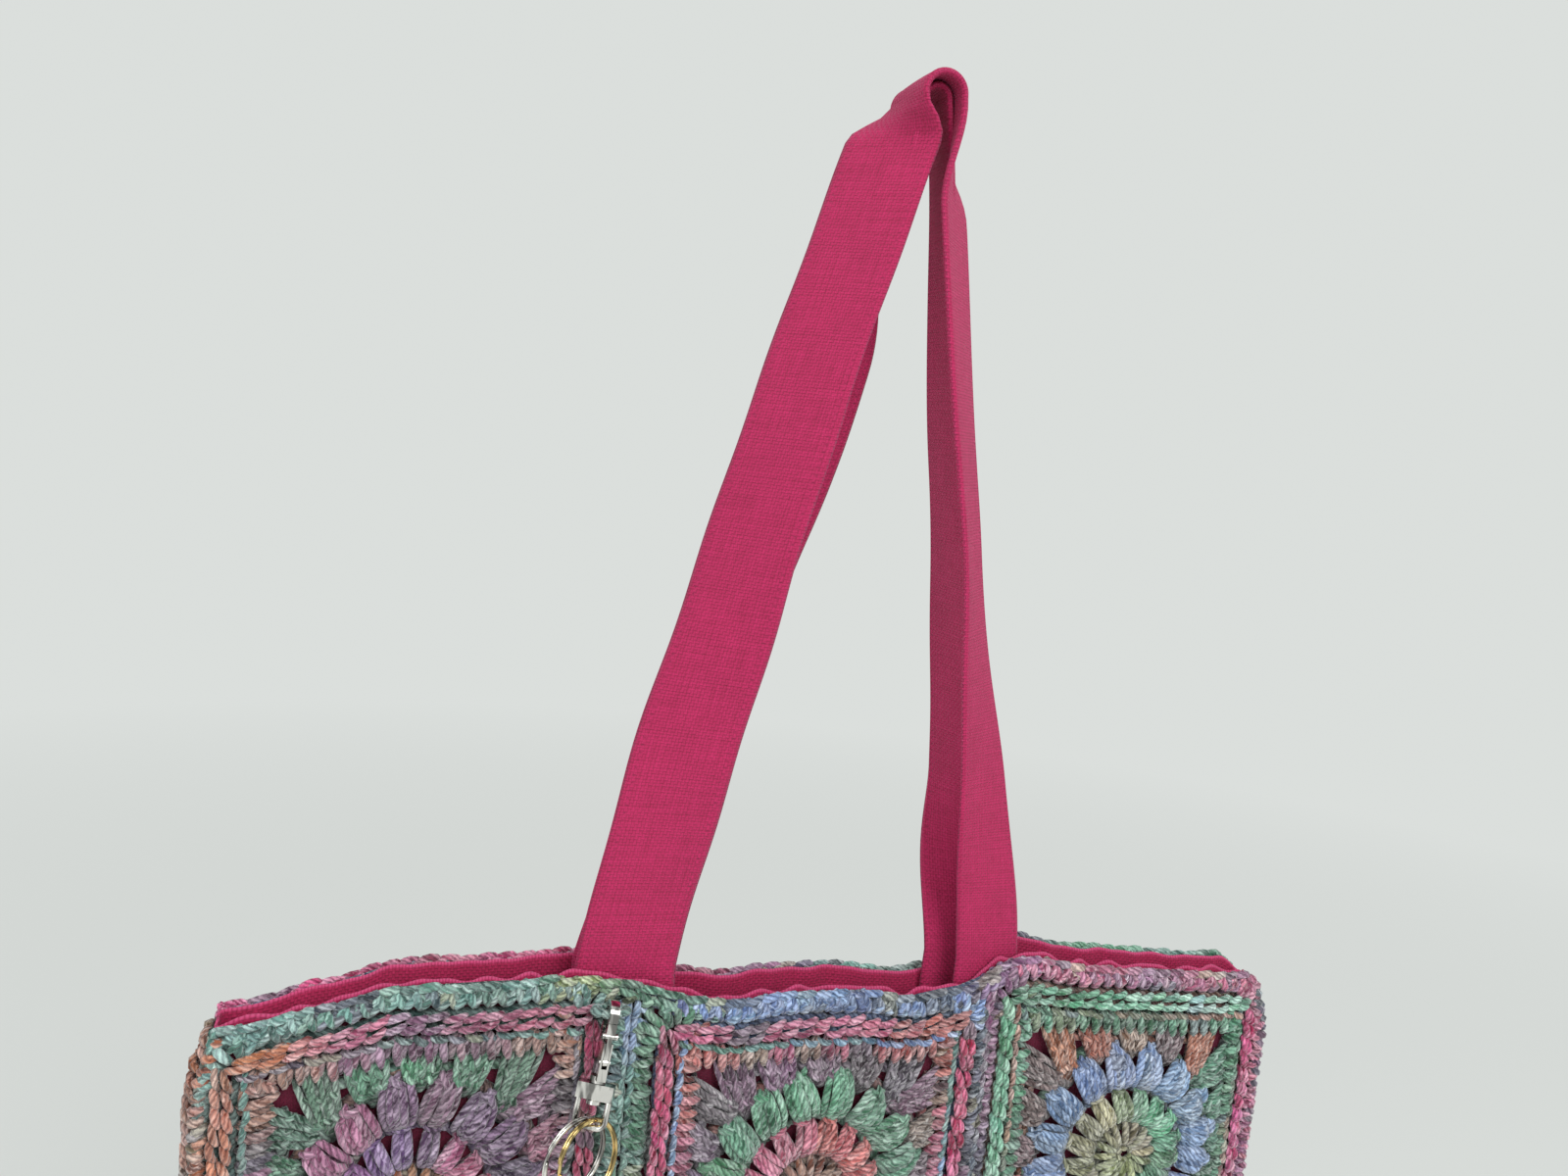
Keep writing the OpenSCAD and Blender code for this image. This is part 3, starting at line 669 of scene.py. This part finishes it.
def trebles(rng, base, head, colour):
    """Treble stitches: two long strands side by side from base to head, and two short ones over them,
    slanting as the yarn round the hook does. The base lies lower than the head."""
    run = unit(head - base)
    aside = np.stack([-run[:, 1], run[:, 0]], -1) * treble_half
    colour = each(colour, 4, rng)
    part = base + (head - base) * 0.30, base + (head - base) * 0.66
    return [
        stitches(rng, base + aside * 0.6, head + aside * 0.9, 0.2, (2.0, 3.4), 1.9, 1.25, colour[0::4]),
        stitches(rng, base - aside * 0.6, head - aside * 0.9, -0.2, (2.0, 3.4), 1.9, 1.25, colour[1::4]),
        stitches(rng, part[0] - aside - run, part[0] + aside + run * 1.6, 0, 3.4, 1.7, 1.15, colour[2::4]),
        stitches(rng, part[1] - aside - run, part[1] + aside + run * 1.6, 0, 3.6, 1.6, 1.15, colour[3::4]),
    ]


# Where the rounds of a square lie, in mm from its centre: the middle ring, the heads of its trebles, of the
# petals, the bobbles, the groups and the posts, the raised chain, the edging and the corner holes
ring_r, centre_r, petal_r, bobble_r = 2.4, 13.8, 25.4, 40.2
group_r, post_r, ridge_r, edge_r, hole_r = 46.0, 51.0, 54.5, 64.4, 72.0
petals = 16


def granny_square(colours, rng):
    """All the strands of one square about its own centre, from the middle ring to its edging. Rows are laid
    from their start to their end with a bow, a low height, a rise, a thickness and a colour."""
    step = 360 / petals
    gaps = np.arange(petals) * step
    bobbles = gaps + step / 2
    rounds = []

    def lay(start, end, *row):
        rounds.append(stitches(rng, start, end, *row))

    def lay_side(start, end, *row):
        lay(on_side(number, *start), on_side(number, *end), *row)

    # Middle ring and its sixteen trebles
    ring = np.arange(6) * 60.0
    colour = yarn_run(rng, 6, colours["centre"])
    lay(polar(ring_r, ring), polar(ring_r, ring + 72), -0.5, 3.2, 0.8, 1.1, colour)
    colour = yarn_run(rng, petals, colours["centre"])
    lay(polar(ring_r + 0.2, gaps), polar(centre_r, gaps + 4), 0, (2.4, 3.0), 2.2, 1.6, colour)

    # Inner petals of three strands over a full core, each with a loop across its head
    lane = np.tile([-1.0, 0.0, 1.0], petals)
    colour = yarn_run(rng, petals, colours["inner"], "beige purple")
    # The core's colour is darkened by 0.7 as painted shade
    lay(polar(centre_r - 0.3, bobbles), polar(petal_r - 0.9, bobbles), 0, 1.6, 1.4, 2.6, colour * 0.7)
    at, tilt = np.repeat(bobbles, 3), np.repeat(rng.normal(0, 0.5, petals), 3)
    start, end = polar(centre_r - 1.4, at, lane * 1.2 + tilt), polar(petal_r - 0.2, at, lane * 1.6 - tilt)
    lay(start, end, lane * 0.8, 2.6, 3.4, 1.5, each(colour, 3, rng))
    lay(polar(petal_r, bobbles, -3.2), polar(petal_r + 0.4, bobbles, 3.2), 0.5, 2.6, 1.8, 1.3, colour)

    # Bobbles of five strands over a full core, gathered at the head by two short strands
    lane = np.tile([-2.0, -1.0, 0.0, 1.0, 2.0], petals)
    colour = yarn_run(rng, petals, colours["bobble"], "slate pink") * 0.95
    # The core's colour is darkened by 0.7 as painted shade
    lay(polar(petal_r + 0.4, bobbles), polar(bobble_r - 0.4, bobbles), 0, 2.2, 3.0, 3.8, colour * 0.7)
    at, tilt = np.repeat(bobbles, 5), np.repeat(rng.normal(0, 1.0, petals), 5)
    long = np.repeat(rng.normal(0, 0.7, petals), 5)
    dome = 5.4 * np.sqrt(1 - (lane / 2.6) ** 2)
    start, end = polar(petal_r - 0.4, at, lane * 1.3 + tilt), polar(bobble_r + long, at, lane * 1.35 - tilt)
    lay(start, end, lane * 0.95, (2.4, 3.6), dome, 1.6, each(colour, 5, rng))
    neck = bobble_r - 2.2
    lay(polar(neck, bobbles, -3.4), polar(bobble_r + 1.8, bobbles, 1.4), 0.4, 4.4, 2.0, 1.35, colour)
    lay(polar(neck, bobbles, 3.2), polar(bobble_r + 2.0, bobbles, -1.6), -0.4, 3.8, 1.8, 1.35, colour)

    for number in range(4):
        # Each side's five groups of three trebles come up between the bobbles, over two full cores
        corner = 45.0 + 90 * (number - 1)
        gap = corner + step * np.arange(5)
        seat = np.array([33.0, 17.5, 0.0, -17.5, -33.0])
        spread = np.tile([1.0, 0.0, -1.0], 5)
        base = polar(bobble_r - 4.2, np.repeat(gap, 3), spread * 1.9)
        head = on_side(number, spread * 5.0 - np.repeat(seat, 3), group_r)
        tuft = yarn_run(rng, 5, colours["groups"][number]) * 0.86
        rounds += trebles(rng, base, head, each(tuft, 3, rng))
        for half in (-3.0, 3.0):
            top = on_side(number, half - seat, group_r + 0.5)
            # The cores' colour is darkened as painted shade
            lay(polar(bobble_r - 5.2, gap, -half * 0.3), top, 0, 1.2, 1.2, 2.9, tuft * 0.72)

        # Posts, with a slack strand beside each, under a line of small loops
        post = (np.arange(20) - 9.5) * 4.9
        colour = yarn_run(rng, 20, colours["posts"]) * 0.9
        lay_side((post - 0.4, group_r - 3.2), (post + 0.9, post_r), 0, (2.6, 3.6), 2.2, 1.6, colour)
        slack = (post + 3.1, group_r - 2.0), (post + 1.9, post_r + 0.2)
        lay_side(*slack, 0.3, (2.4, 3.4), 1.6, 1.3, colour * 0.88)
        link = (np.arange(19) - 9.0) * 5.4
        colour = yarn_run(rng, 19, colours["line"])
        lay_side((link - 3.2, post_r - 1.1), (link + 3.0, post_r - 0.3), 0.7, (4.0, 4.6), 1.3, 1.25, colour)

        # Raised chain of eighteen links: two strands slant side by side in each
        link = (np.arange(18) - 8.5) * 5.9
        colour = yarn_run(rng, 18, colours["ridge"][number], fleck=0.02)
        outer = (link + 2.4, ridge_r), (link - 4.9, ridge_r + 1.5)
        inner = (link + 4.1, ridge_r - 2.0), (link - 3.3, ridge_r - 0.3)
        lay_side(*outer, 0.5, (5.2, 4.6), 1.9, 1.4, each(colour, 1, rng))
        lay_side(*inner, -0.4, (4.8, 5.6), 1.9, 1.4, each(colour, 1, rng))

        # Edging of stitches whose two strands lean together
        body = (np.arange(20) - 9.5) * 5.3
        colour = yarn_run(rng, 20, colours["edge"][number])
        left = (body - 2.2, ridge_r + 2.9), (body + 0.6, edge_r)
        right = (body + 3.0, ridge_r + 3.1), (body + 1.2, edge_r + 0.4)
        lay_side(*left, 0.3, (2.8, 3.8), 1.9, 1.5, colour)
        lay_side(*right, -0.3, (2.6, 3.4), 1.7, 1.4, each(colour, 1, rng))

        # Shell of six strands round the corner hole, five short ones inside it, and two to the flower
        middle = polar(hole_r, corner)
        fan = corner + np.array([-62, -38, -13, 13, 38, 62])
        colour = yarn_run(rng, 6, first(colours["edge"][number]))
        lay(middle + polar(3.4, fan), middle + polar(12.6, fan), 0, (2.6, 3.2), 2.4, 1.6, colour)
        fan = corner + 180 + np.array([-76, -40, 0, 40, 76])
        colour = yarn_run(rng, 5, first(colours["posts"]))
        lay(middle + polar(3.2, fan), middle + polar(10.8, fan), 0, (2.8, 3.2), 2.2, 1.5, colour)
        pair = np.array([-1.0, 1.0])
        start, end = polar(bobble_r - 4.2, corner, pair * 2.4), polar(ridge_r + 2.0, corner, pair * 5.2)
        # Their colour is darkened as painted shade
        lay(start, end, 0, (1.2, 1.8), 1.0, 1.9, tuft[[0, 0]] * 0.8)

        # Strands laid low behind the stitches, their colours darkened as painted shade
        low_rows = [("groups", 36), ("groups", 39), ("posts", 43), ("line", 50), ("line", 50)]
        for row, (names, reach) in enumerate([*low_rows, ("edge", 62), ("edge", 62)]):
            level = group_r - 4.8 + 3.6 * row
            along = (np.arange(4) - 1.5) * 0.5 * reach
            own = colours[names][number] if names in ("groups", "edge") else colours[names]
            colour = yarn_run(rng, 4, first(own)) * 0.8
            lay_side((along - 0.27 * reach, level), (along + 0.27 * reach, level), 0, 1.6, 0.4, 2.1, colour)
    # Rings laid low under the rounds, their colours darkened as painted shade
    low_rings = {"centre": centre_r - 3.3, "inner": centre_r, "bobble": petal_r, "posts": bobble_r + 0.8}
    for names, radius in low_rings.items():
        colour = yarn_run(rng, petals, first(colours[names])) * 0.75
        start, end = polar(radius, gaps - 2), polar(radius, gaps + step + 2)
        lay(start, end, -0.03 * radius, 1.2, 0.3, 2.3, colour)
    return rounds


# Yarn colours of three squares: their rounds from the middle out. The groups, the raised chain and the
# edging have their own on the right, top, left and bottom sides
square_colours = [
    {
        "centre": "brown rust",
        "inner": "pink purple hot_pink pink",
        "bobble": "purple mauve purple grey_mauve mauve purple",
        "groups": ["mauve pink mauve", "green mint green", "green", "green teal"],
        "posts": "peach mauve peach",
        "line": "teal grey_mauve",
        "ridge": ["magenta", "pink pink mauve pink rust", "rust coral", "mauve"],
        "edge": ["green teal", "teal", "light_teal rust coral rust", "teal"],
    },
    {
        "centre": "brown rust",
        "inner": "coral pink coral",
        "bobble": "green mint green mint",
        "groups": ["coral mauve", "grey_mauve mauve", "grey_mauve purple", "mauve"],
        "posts": "coral pink coral",
        "line": "steel teal",
        "ridge": ["hot_pink magenta", "coral pink pink", "magenta hot_pink", "pink"],
        "edge": ["mauve slate", "steel steel", "green teal", "steel"],
    },
    {
        "centre": "beige lime",
        "inner": "mint beige green",
        "bobble": "sky steel sky steel",
        "groups": ["green mint", "rust coral rust", "rust coral", "peach rust"],
        "posts": "mint green mint",
        "line": "peach green",
        "ridge": ["pink hot_pink", "light_mint mint", "mint light_mint", "mint"],
        "edge": ["mauve pink", "pink mauve pink", "mauve slate", "mauve"],
    },
]
square_sag, square_sway, square_loose = 0.0105, 0.006, 0.057
both_faces = (1.0, "front"), (-1.0, "back")

for side, face in both_faces:
    behind = int(side < 0)
    for number in range(9):
        seed = 100 + number + 50 * behind
        column, row = number % 3 - 1, number // 3
        look = square_colours[(number % 3 + row * 2 + behind) % 3]

        def on_bag(a, b, h):
            """Place of a square's pattern on the bag. Its middle sags, and in the right column also
            sways, by a parabola over its height times one over its width."""
            a_share, b_share = (np.clip(v, -square_loose, square_loose) / square_loose for v in (a, b))
            loose = (1 - b_share**2) * (1 - 0.75 * a_share**2)
            sway = square_sway * loose * (column == 1)
            middle_up = crochet_top - half_pitch - row * square_pitch
            return hang(column * square_pitch + a + sway, middle_up + b - square_sag * loose, h, side)

        node = f"{face}_square_{number + 1}"
        put_yarn(node + "_yarn", granny_square(look, default_rng(seed)), on_bag, seed, node)

# ------------------------------
# Top edging and joins between the squares
# A round of short stitches and a chain run along the top of each face, and the
# squares are crocheted together by rows of stitches with a chain between them.
# ------------------------------
def spaced(start, end, pitch):
    """Middles of the stitches along a line, evenly at about a pitch, and one step along it and a unit
    aside from it."""
    start, end = np.asarray(start, float), np.asarray(end, float)
    count = int(round(np.linalg.norm(end - start) / pitch))
    step = (end - start) / count
    return start + step * (np.arange(count) + 0.5)[:, None], step, unit(np.array([-step[1], step[0]]))


def stitch_row(rng, start, end, width, pitch, names, low, rise, thick, slant):
    """Short strands side by side along a line, each across it over the given width."""
    middle, step, aside = spaced(start, end, pitch)
    reach = aside * width / 2 + unit(step) * slant
    colour = yarn_run(rng, len(middle), names)
    return stitches(rng, middle - reach, middle + reach, 0, low, rise, thick, colour)


def chain_row(rng, start, end, pitch, names, low, spread, thick=1.35):
    """A chain along a line: two strands to each link, which start together on the line, spread to its
    two sides and end over the start of the next link."""
    middle, step, aside = spaced(start, end, pitch)
    colour = yarn_run(rng, len(middle), names)
    rows = []
    for turn in (1, -1):
        a = middle - step * 0.75 + aside * spread * 0.15 * turn
        b = middle + step * 0.65 + aside * spread * turn
        rows.append(stitches(rng, a, b, 0.5 * turn, (low - 1.0, low), 1.3, thick, each(colour, 1, rng)))
    return rows


def face_place(side):
    return lambda a, b, h: hang(a, b, h, side)


half_mm = bag_half / mm
top_mm = crochet_top / mm
pitch_mm = square_pitch / mm
edging_names = {
    "front": "teal light_teal slate teal light_teal teal lime green teal steel sky steel sky slate purple "
    "mauve pink pink mauve pink mauve pink",
    "back": "hot_pink hot_pink pink hot_pink pink mauve teal light_teal slate mint teal mint",
}


def join_rows(rng, start, end, over, names):
    """A join between squares: a chain along a line, and a row of short strands on each side of it."""
    start, end, over = (np.array(v, float) for v in (start, end, over))
    rows = chain_row(rng, start, end, 5.4, names, 3.6, 1.2)
    for offset in (-2.9, 2.9):
        ends = start + offset * over, end + offset * over
        rows.append(stitch_row(rng, *ends, 4.6, 4.4, names, 2.2, 1.6, 1.4, 0.8 * np.sign(offset)))
    return rows


for side, face in both_faces:
    rng = default_rng(300 if side > 0 else 301)
    names = edging_names[face]
    chain, short, bed = (((-half_mm, top_mm - drop), (half_mm, top_mm - drop)) for drop in (2.0, 5.0, 2.4))
    rounds = chain_row(rng, *chain, 6.3, names, 3.6, 1.7, thick=1.6)
    rounds.append(stitch_row(rng, *short, 4.6, 5.3, names, 3.4, 1.8, 1.45, 2.0))
    rounds.append(stitch_row(rng, *bed, 4.4, 5.3, names, 1.4, 0.8, 1.8, 0.5))
    # Painted shade between the edging's stitches: some on the front, none on the back
    depth_shade = 0.3 if side > 0 else 0.0
    put_yarn(face + "_edging_yarn", rounds, face_place(side), 310, face + "_edging", depth_shade=depth_shade)
    rounds = []
    for line, names in ((-0.5, "teal green teal sky "), (0.5, "mauve slate grey_mauve mauve ")):
        start, end = (line * pitch_mm, 4), (line * pitch_mm, top_mm - 6)
        rounds += join_rows(rng, start, end, (1, 0), names * 3)
    for line in (1, 2):
        start, end = (2 - half_mm, line * pitch_mm), (half_mm - 2, line * pitch_mm)
        rounds += join_rows(rng, start, end, (0, 1), "teal mauve slate teal pink mauve")
    put_yarn(face + "_join_yarn", rounds, face_place(side), 320, face + "_square_joins")

# ------------------------------
# Side and bottom joins
# The two crocheted faces are joined round the canvas by stitches that wrap from
# the front edge to the back edge, in columns down each side and rows below.
# ------------------------------
side_reach, side_in, wrap_out = 0.0015, 0.003, 0.0012


def round_side(hand):
    """Place on a side: a distance round it, from the front's edge at -1 to the back's at 1, a height and
    a height out of the yarn's bed. The section is half an ellipse about the side seam."""

    def place(around, up, out):
        deep = bottom_half + up * lean - (bag_half - half_pitch) * turn_in + wrap_out
        angle = around / mm / 100 * np.pi / 2
        edge = hang(hand * bag_half + 0 * up, up, 0 * up)
        x = edge[..., 0] + hand * ((side_reach + out) * np.cos(angle) - side_in)
        return np.stack([x, (deep + out) * np.sin(angle), edge[..., 2]], -1)

    return place


def put_wrap(name, place, seeds, start, length, names, node):
    """Four columns of slanting strands, each a quarter of the way round an edge, leaning to one side and
    the other in turn. Their first coordinate is hundredths of the way round."""
    dyes, lie = (default_rng(seed) for seed in seeds)
    count, overlap = 92, 4
    level = start + (np.arange(count) + 0.5) / count * length
    rounds = []
    for column in range(4):
        slant = 1.4 if column % 2 else -1.4
        a = np.stack([np.full(count, column * 50.0 - 100 - overlap), level - slant], -1)
        b = np.stack([np.full(count, column * 50.0 - 50 + overlap), level + slant], -1)
        rounds.append(stitches(lie, a, b, 0, 3.0, 1.6, 1.55, yarn_run(dyes, count, names)))
    put_yarn(name, rounds, place, seeds[1], node)


for hand, name, names in (
    (-1, "left", "teal light_teal slate teal peach rust " * 2),
    (1, "right", "mauve pink mauve slate " * 3),
):
    seeds = 400 + hand, 410 + hand
    node = "crochet_side_join_" + name
    put_wrap(f"side_join_{name}_yarn", round_side(hand), seeds, 0, top_mm - 2, names, node)


def round_bottom(around, across, out):
    """Place on the bottom: round it from the front's edge at -1 to the back's at 1, and across."""
    edge = hang(across, 0 * across, 0 * across)
    beyond = np.maximum(np.abs(across) - half_pitch, 0)
    angle = around / mm / 100 * np.pi / 2
    deep = bottom_half - beyond * turn_in + wrap_out
    z = edge[..., 2] + side_in - (side_reach + out) * np.cos(angle)
    return np.stack([edge[..., 0], (deep + out) * np.sin(angle), z], -1)


names = "teal mauve steel slate pink mauve " * 2
span = 1 - half_mm, 2 * half_mm - 2
put_wrap("bottom_join_yarn", round_bottom, (450, 451), *span, names, "crochet_bottom_join")

# ------------------------------
# Key clip, rings and charm
# A nickel swivel clip hangs from a loop of yarn on the edging, and a sprung gate
# shuts its hook. Two split rings hang from its eye, the silver one with a charm.
# ------------------------------
def plated(name, colour, rough, waves):
    """Polished plate: streaks down it stand for the bright and dark things that it mirrors, and it has fine
    scratches, dull finger marks and waves of the given depth."""
    metal = Finish(name, Metallic=1.0, Roughness=rough, Base_Color=linear(colour))
    place = metal.object_place()
    dull = metal.noise(place, 260.0, 3.0)
    scratch = metal.noise(metal.node("Mapping", {}, place, Scale=(4000.0, 4000.0, 400.0)), 1.0, 2.0)
    swell = metal.noise(place, 190.0, 1.0)
    streak = metal.noise(metal.node("Mapping", {}, place, Scale=(360.0, 360.0, 90.0)), 1.0, 1.0)
    streak = ((streak - 0.44) * 6.0).held(0.8)
    metal.feed(
        Base_Color=metal.mix(streak, linear(colour), linear(tuple(0.36 * c for c in colour))),
        Roughness=dull * 0.12 + (rough - 0.06),
        Normal=metal.bumps(scratch * 0.02 + swell, waves, 0.6),
    )
    return metal.material


nickel = plated("nickel_plate", (0.90, 0.89, 0.87), 0.14, 0.00012)
gold = plated("gold_plate", (0.90, 0.79, 0.54), 0.16, 0.0005)
skin_deep = {"Subsurface_Weight": 0.15, "Subsurface_Scale": 0.002}
resin = Finish("charm_resin", Roughness=0.35, Coat_Weight=0.4, **skin_deep)
cloudy = resin.noise(resin.object_place(), 240.0, 3.0) * 0.5
resin.feed(Base_Color=resin.mix(cloudy, linear((0.93, 0.56, 0.67)), linear((0.84, 0.44, 0.58))))
for node, material in (
    ("clip_hook", nickel),
    ("clip_gate", nickel),
    ("gate_pin", nickel),
    ("swivel_pin", nickel),
    ("swivel_eye", nickel),
    ("charm", resin.material),
):
    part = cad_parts[node]
    part.data.materials.clear()
    part.data.materials.append(material)
    rounded = part.modifiers.new("soft_edges", "BEVEL")
    rounded.width, rounded.segments, rounded.limit_method, rounded.angle_limit = 0.0002, 2, "ANGLE", 0.7
    part.modifiers.new("weighted", "WEIGHTED_NORMAL")

wire_wide, wire_flat, wire_turns_apart, wire_in = 0.0007, 0.00043, 0.00047, 0.0008


def split_ring(kind, material):
    """A ring of two turns of flattened wire, on the centre, axis and size that its solid has: the wire's
    place along the axis changes by a smoothstep where one turn passes to the next."""
    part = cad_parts[kind + "_ring"]
    count = len(part.data.vertices)
    solid = np.empty(count * 3)
    part.data.vertices.foreach_get("co", solid)
    world = np.array(part.matrix_world)
    solid = solid.reshape(-1, 3) @ world[:3, :3].T + world[:3, 3]
    middle = (solid.max(axis=0) + solid.min(axis=0)) / 2
    axes = np.linalg.svd(solid - solid.mean(axis=0), full_matrices=False)[2]
    reach = np.linalg.norm(solid - middle, axis=1).max()
    rings, sides = 110, 10
    turn = np.linspace(0.02, 1.98, rings)
    angle = turn * 2 * np.pi
    shift = (smooth(0.9, 1.1, turn) * 2 - 1) * wire_turns_apart
    around = np.cos(angle)[:, None] * axes[0] + np.sin(angle)[:, None] * axes[1]
    bend = np.arange(sides) / sides * 2 * np.pi
    radial = (reach - wire_in + wire_wide * np.cos(bend))[None, :, None] * around[:, None]
    axial = (shift[:, None] + wire_flat * np.sin(bend))[..., None] * axes[2]
    points = (middle + radial + axial).reshape(-1, 3)
    end = np.arange(sides)[None]
    ends = [end[:, ::-1], end + (rings - 1) * sides]
    faces, caps = facing_out(points, grid_faces(rings, sides), ends)
    piece = put_mesh(kind + "_split_ring", points, [faces, *caps], material)
    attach(piece, kind)
    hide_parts(kind + "_ring")


split_ring("silver", nickel)
split_ring("gold", gold)

loop_girth, loop_x, loop_y, loop_z = 26, -0.084, -0.0189, -0.306
loop_wide, loop_deep = 0.0057, 0.0028


def round_loop(a, b, h):
    """Place on the yarn loop: a way round its oval and a height above its middle line."""
    turn = a / mm / loop_girth * 2 * np.pi
    x, y = loop_x + (loop_wide + b) * np.cos(turn), loop_y - (loop_deep + b) * np.sin(turn)
    return np.stack([x, y, loop_z + h], -1)


rng = default_rng(500)
start = np.arange(6) * loop_girth / 6
ends = np.stack([start - 0.9, 0 * start], -1), np.stack([start + loop_girth / 6 + 0.9, 0 * start], -1)
strands = stitches(rng, *ends, 0, 0, 0.15, 1.5, yarn_run(rng, 6, "teal"))
put_yarn("yarn_loop_strands", [strands], round_loop, 501, "yarn_loop", depth_shade=0.0)

# ------------------------------
# Floor, light and camera
# A pale floor under the bag, an even pale surrounding, two large soft lamps and
# the camera that looks down at the bag from just in front of its hook.
# ------------------------------
room_colour = (0.708, 0.735, 0.716, 1.0)
ground = Finish("pale_floor", Roughness=1.0, Specular_IOR_Level=0.0, Emission_Strength=1.0)
far = ground.node("VectorMath", {"operation": "LENGTH"}, ground.object_place(), output=1)
# The floor fades into the room from 0.8 to 2.2 m from the hook
far = ((far - 0.8) * (1 / 1.4)).held()
ground.feed(
    Base_Color=ground.mix(far, (0.74, 0.75, 0.74, 1.0), (0.0, 0.0, 0.0, 1.0)),
    Emission_Color=ground.mix(far, (0.0, 0.0, 0.0, 1.0), room_colour),
)
floor_half, floor_z = 6.0, -0.6955
corners = [(x * floor_half, y * floor_half, floor_z) for x, y in ((-1, -1), (1, -1), (1, 1), (-1, 1))]
floor = put_mesh("floor", corners, [np.array([[0, 1, 2, 3]])], ground.material)

world = bpy.data.worlds.new("pale_room")
bpy.context.scene.world = world
world.use_nodes = True
background = world.node_tree.nodes["Background"]
background.inputs["Color"].default_value = room_colour
background.inputs["Strength"].default_value = 1.0


def turned(right, up, back, place):
    """Matrix whose axes point right, up and back, at a place."""
    columns = [[float(x) for x in axis] for axis in (right, up, back, place)]
    return Matrix([[column[row] for column in columns] for row in range(3)] + [[0.0, 0.0, 0.0, 1.0]])


def soft_lamp(name, place, target, size, power):
    """A square area lamp turned to a point."""
    data = bpy.data.lights.new(name, "AREA")
    data.size, data.energy = size, power
    lamp = bpy.data.objects.new(name, data)
    bpy.context.scene.collection.objects.link(lamp)
    back = np.asarray(place, float) - np.asarray(target, float)
    back /= np.linalg.norm(back)
    right = np.cross([0.0, 0.0, 1.0], back)
    right /= np.linalg.norm(right)
    up = np.cross(back, right)
    lamp.matrix_world = turned(right, up, back, place)


soft_lamp("window", (0.35, -1.35, 0.8), (0, 0, -0.35), 0.9, 18.0)
soft_lamp("fill", (-1.3, -1.1, 0.2), (0, 0, -0.4), 1.2, 7.0)

yaw, pitch, roll = np.radians([16.51, -6.96, 5.58])
ahead = np.array([np.sin(yaw) * np.cos(pitch), np.cos(yaw) * np.cos(pitch), np.sin(pitch)])
level = np.array([np.cos(yaw), -np.sin(yaw), 0.0])
upright = np.cross(level, ahead)
right = np.cos(roll) * level + np.sin(roll) * upright
up = np.cos(roll) * upright - np.sin(roll) * level
lens = bpy.data.cameras.new("camera")
lens.lens, lens.sensor_width = 29.12, 36.0
lens.clip_start = 0.01
camera = bpy.data.objects.new("camera", lens)
bpy.context.scene.collection.objects.link(camera)
camera.matrix_world = turned(right, up, -ahead, (-0.1553, -0.4114, -0.1127))
bpy.context.scene.camera = camera
bpy.context.scene.view_settings.view_transform = "Standard"
